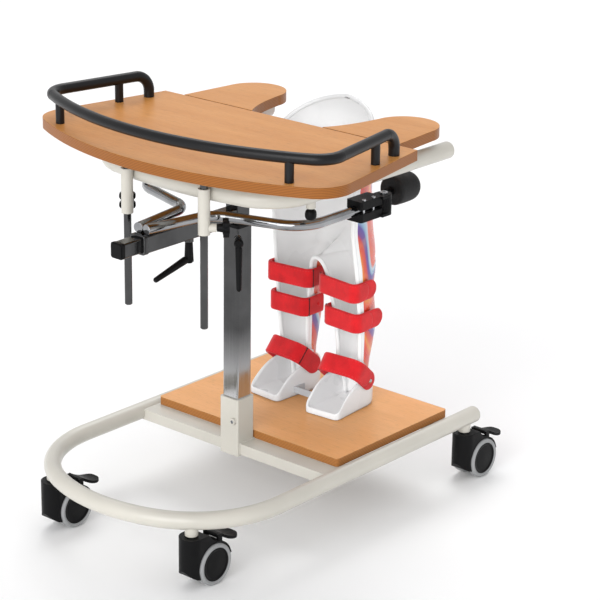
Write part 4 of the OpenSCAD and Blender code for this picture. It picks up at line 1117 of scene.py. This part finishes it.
@dataclass
class LegStraps:
    """The six straps, at thigh, knee and ankle."""

    shell: StandingShell
    troughs: FootTroughs
    width: float = 36.0
    gap: float = 0.6
    bulge: float = 13.0
    wrap: float = 34.0
    heights: dict = field(default_factory=lambda: {"thigh": 226.0, "knee": 168.0})
    tails: dict = field(default_factory=lambda: {"thigh": 10.0, "knee": 21.0})
    lean: dict = field(default_factory=lambda: {"thigh": (6.0, -4.0), "knee": (4.0, -1.0)})
    ankle_reach: float = 32.0
    ankle_corner: float = 14.0
    ankle_spot: tuple[float, float, float] = (0.0, -17.0, 62.0)
    ankle_tilt: float = 40.0

    def leg_reach(self, h: float) -> tuple[float, float]:
        """Inner and outer face of a leg channel at a height over the plate."""
        return self.shell.inside(h) - self.shell.wall / 2, self.shell.outside(h) + self.shell.wall / 2

    def straight(self, where: str, h: float, side: Side) -> Strap:
        """A level strap at a height over the plate, turned a little towards the other leg.

        Args:
            where: The strap's place on the leg.
            h: Its height over the plate.
            side: The leg's side.

        Returns:
            The strap.
        """
        ends = [self.leg_reach(h + d) for d in (-self.width / 2, self.width / 2)]
        inner, outer = min(e[0] for e in ends) - self.gap, max(e[1] for e in ends) + self.gap
        rim = self.shell.front(h)
        lean = self.lean[where]

        def set_round(p: Vector) -> Vector:
            """Lays a point of the level strap round the leg."""
            share = min(1.0, max(0.0, (p.x - inner) / (outer - inner)))
            return place(p.x * side.value, p.y + lean[0] + (lean[1] - lean[0]) * share, p.z + PLATE_TOP + h)

        return Strap(f"strap_{where}_{side.word}", inner, outer, rim - self.bulge, rim + self.wrap,
                     self.width, set_round, tail=self.tails[where])

    def ankle(self, side: Side) -> Strap:
        """The slanted strap over the instep on one side."""
        troughs, reach = self.troughs, self.ankle_reach
        half = troughs.width / 2 + self.gap
        turn = Matrix.Rotation(math.radians(troughs.toe_out), 4, "Z")
        tilt = Matrix.Rotation(math.radians(-self.ankle_tilt), 4, "X")
        lay = Matrix.Translation((troughs.leg_x, troughs.foot_y, PLATE_TOP)) @ turn \
            @ Matrix.Translation(self.ankle_spot) @ tilt

        def set_down(p: Vector) -> Vector:
            """Lays a point of the flat strap on the instep."""
            spot = lay @ p
            return place(spot.x * side.value, spot.y, spot.z)

        return Strap(f"strap_ankle_{side.word}", -half, half, -reach, reach, self.width, set_down,
                     corner=self.ankle_corner, rivet_inside=False)

    def build(self, palette: Palette) -> list[Piece]:
        """Builds all six straps."""
        pieces: list[Piece] = []
        for side in Side:
            for where, h in self.heights.items():
                pieces += self.straight(where, h, side).build(palette)
            pieces += self.ankle(side).build(palette)
        return pieces


@dataclass
class Welds:
    """Rippled weld beads where the coated tubes and bars meet, in millimetres."""

    bead: float = 1.7
    step: float = 1.6
    ripple: tuple[float, float, float] = (1.0, 1.12, 0.86)
    taper: float = 0.6
    socket_half: float = 21.2
    socket_drop: float = 20.0
    bar_depths: tuple[float, float] = (56.0, 30.0)

    def run(self, name: str, corners: Sequence[Vector], body: Body, palette: Palette) -> Piece:
        """Lays one bead along straight legs.

        Args:
            name: The bead's name.
            corners: Its corners in the row frame.
            body: The body that it rides.
            palette: The finishes.

        Returns:
            The bead.
        """
        path: list[Vector] = []
        for a, b in zip(corners, corners[1:]):
            count = max(2, int((b - a).length / (self.step * MM)))
            path += [a.lerp(b, k / count) for k in range(count)]
        path.append(corners[-1])
        ends = (0, len(path) - 1)

        def radius(k: int) -> float:
            """The bead's radius at a point, thin at both ends."""
            return self.bead * MM * self.ripple[k % 3] * (self.taper if k in ends else 1.0)

        bead = MeshWork.make(name, *MeshWork.tube(path, radius, 8))
        bead.data.materials.append(palette["cream_coat"])
        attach(bead, body.value)
        return bead

    def build(self, palette: Palette) -> list[Piece]:
        """Lays the beads of the base, the mast and the table tube."""
        low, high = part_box("cross_bars")
        half, top = self.socket_half * MM, high.z
        back = SHIFT_Y * MM + half
        loop = ((-half, low.y), (-half, back), (half, back), (half, low.y))
        runs = [("weld_socket", [(x, y, top) for x, y in loop], Body.BASE)]
        for word, x in (("front", -half), ("side", half)):
            corners = [(x, low.y, z) for z in (top, top - self.socket_drop * MM)]
            runs.append((f"weld_socket_{word}", corners, Body.BASE))
        front, rear = (depth * MM for depth in self.bar_depths)
        for side in Side:
            x = side.value * (high.x - 0.9 * MM)
            for word, ends in (("front", (low.y, low.y + front)), ("rear", (high.y - rear, high.y))):
                runs.append((f"weld_bar_{word}_{side.word}", [(x, y, top) for y in ends], Body.BASE))
        low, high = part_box("frame_crossbar")
        for side in Side:
            x = side.value * (high.x - 1.0 * MM)
            for word, z in (("top", high.z), ("under", low.z)):
                runs.append((f"weld_{word}_{side.word}", [(x, y, z) for y in (low.y, high.y)], Body.MAST))
        a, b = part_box("inner_mast")
        loop = ((a.x, a.y), (b.x, a.y), (b.x, b.y), (a.x, b.y), (a.x, a.y))
        runs.append(("weld_mast", [(x, y, low.z) for x, y in loop], Body.MAST))
        return [self.run(name, [Vector(c) for c in corners], body, palette) for name, corners, body in runs]


@dataclass
class BolsterPad:
    """A foam roll on its rod, with a full side, a flat front and a round far end."""

    hole: float = 6.4
    front_edge: float = 5.0
    far_edge: float = 20.0
    crown: float = 0.4
    around: int = 32

    def profile(self, radius: float, length: float) -> list[tuple[float, float]]:
        """Radius and distance along the roll, from the rod's end to the round end.

        Args:
            radius: The roll's radius.
            length: The roll's length.

        Returns:
            The outline's points.
        """
        r, near, far = radius, self.front_edge, self.far_edge
        side = length - near - far - 1
        points = [(self.hole, 2.0), (self.hole, 0.0), (self.hole + 3, 0.0), (r - near - 2, 0.0)]
        points += [(r - near + near * math.sin(a), near - near * math.cos(a)) for a in (0.3, 0.8, 1.25)]
        points += [(r + self.crown * math.sin(math.pi * t), near + 1 + side * t)
                   for t in (0.05, 0.3, 0.6, 0.95)]
        points += [(r - far + far * math.cos(a), length - far + far * math.sin(a))
                   for a in (0.2, 0.45, 0.7, 0.95, 1.2, 1.45)]
        return points + [(3.0, length), (0.6, length)]

    def build(self, palette: Palette, side: Side) -> Piece:
        """Builds one pad.

        Args:
            palette: The finishes.
            side: The side that it is on.

        Returns:
            The pad.
        """
        low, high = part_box(f"bolster_pad_{side.word}")
        middle = (low + high) / 2
        profile = self.profile((high.z - low.z) / 2 / MM, (high.y - low.y) / MM)
        turns = [2 * math.pi * i / self.around for i in range(self.around)]
        points = [Vector((middle.x + side.value * r * math.cos(t) * MM, low.y + along * MM,
                          middle.z + r * math.sin(t) * MM)) for r, along in profile for t in turns]
        faces = [face[::-side.value] for face in MeshWork.rings(len(profile), self.around)]
        pad = MeshWork.make(f"bolster_foam_{side.word}", points, faces)
        MeshWork.subdivide(pad)
        pad.data.materials.append(palette["foam"])
        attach(pad, f"bolster_{side.word}")
        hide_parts(f"bolster_pad_{side.word}")
        return pad


@dataclass
class Dressing:
    """Gives each node its finish: the one named for the node, or else the one of its slot."""

    slots: dict = field(default_factory=lambda: {"beech": "beech_table"})
    # The bow tubes take the lighter chrome copy, a painted bright reflection; the outer column takes the
    # chrome with a painted reflection at its foot.
    special: dict = field(default_factory=lambda: {
        "foot_plate": "beech_plate", "foot_troughs": "trough_white", "bow_tubes": "chrome_bright",
        "outer_column": "chrome_column"})

    def apply(self, palette: Palette) -> int:
        """Puts the finishes on the nodes.

        Args:
            palette: The finishes.

        Returns:
            How many nodes were dressed.
        """
        parts = frame["record"]["subparts"]
        for part in parts:
            node, slot = part["node"], part["material_slot"]
            mesh = frame["nodes"][node].data
            mesh.materials.clear()
            mesh.materials.append(palette[self.special.get(node, self.slots.get(slot, slot))])
        return len(parts)


@dataclass
class Studio:
    """Pale floor, soft light and the camera at the photograph's angle."""

    azimuth: float = 40.706
    elevation: float = 19.486
    roll: float = 0.778
    spot: tuple[float, float, float] = (2410.0, -2636.5, PLATE_TOP + 1506.9)
    lens: float = 132.55
    sensor: float = 36.0
    floor_half: float = 40.0
    floor_level: float = -0.0004
    world: float = 0.76

    def camera(self) -> Piece:
        """Makes the camera and makes it the scene's own."""
        az, el, roll = (math.radians(v) for v in (self.azimuth, self.elevation, self.roll))
        back = Vector((math.sin(az) * math.cos(el), -math.cos(az) * math.cos(el), math.sin(el)))
        right = Vector((math.cos(az), math.sin(az), 0.0))
        up = back.cross(right)
        right, up = right * math.cos(roll) + up * math.sin(roll), up * math.cos(roll) - right * math.sin(roll)
        data = bpy.data.cameras.new("camera")
        data.lens, data.sensor_width, data.clip_end = self.lens, self.sensor, 100.0
        made = link("camera", data)
        turn = Matrix((right, up, back)).transposed().to_4x4()
        made.matrix_world = Matrix.Translation(place(*self.spot)) @ turn
        bpy.context.scene.camera = made
        return made

    def floor(self) -> Piece:
        """Makes the floor, a pale sheet with a faint mottle."""
        half = self.floor_half
        corners = ((-half, -half), (half, -half), (half, half), (-half, half))
        points = [Vector((x, y, self.floor_level)) for x, y in corners]
        made = MeshWork.make("studio_floor", points, [[0, 1, 2, 3]])
        material = bpy.data.materials.new("studio_floor")
        material.use_nodes = True
        s = Shade(material.node_tree)
        mottle = s.mix(s.noise(s.coords(), 3.0), (0.965, 0.965, 0.965), (0.975, 0.975, 0.975))
        s.fill(material.node_tree.nodes["Principled BSDF"], Base_Color=mottle, Roughness=0.9,
               Specular_IOR_Level=0.0)
        made.data.materials.append(material)
        return made

    def lights(self) -> None:
        """Sets the world's soft light and two broad lamps."""
        world = bpy.data.worlds.new("studio")
        bpy.context.scene.world = world
        world.use_nodes = True
        s = Shade(world.node_tree)
        level = s.upward(s.node("ShaderNodeTexCoord").outputs["Generated"])
        stops = ((0.0, (0.9, 0.9, 0.9)), (0.5, (1.0, 1.0, 1.0)), (0.75, (0.9, 0.9, 0.91)),
                 (1.0, (0.85, 0.85, 0.86)))
        tone = s.ramp(s.span(level, -1.0, 1.0), stops)
        s.fill(world.node_tree.nodes["Background"], Color=tone, Strength=self.world)
        for name, power, spread, turn in (("key_lamp", 1.0, 35.0, (-28.0, -26.0, 0.0)),
                                          ("fill_lamp", 2.0, 50.0, (72.0, 0.0, 16.0))):
            data = bpy.data.lights.new(name, "SUN")
            data.energy = power
            data.angle = math.radians(spread)
            link(name, data).rotation_euler = [math.radians(v) for v in turn]

    def build(self) -> None:
        """Sets up the whole studio."""
        self.camera()
        self.floor()
        self.lights()
        bpy.context.scene.view_settings.view_transform = "Standard"


def main() -> None:
    """Builds the studio and every piece in order."""
    logging.basicConfig(level=logging.INFO, format="%(message)s")
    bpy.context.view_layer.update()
    Studio().build()
    palette = Palette()
    LOG.info("finishes on %d nodes", Dressing().apply(palette))
    shell, troughs = StandingShell(), FootTroughs()
    LOG.info("made %s", shell.build(palette).name)
    for strap in LegStraps(shell, troughs).build(palette):
        LOG.info("made %s", strap.name)
    for side in Side:
        LOG.info("made %s", BolsterPad().build(palette, side).name)
        LOG.info("made %s", troughs.build(palette, side).name)
    LOG.info("laid %d weld beads", len(Welds().build(palette)))


if __name__ == "__main__":
    main()
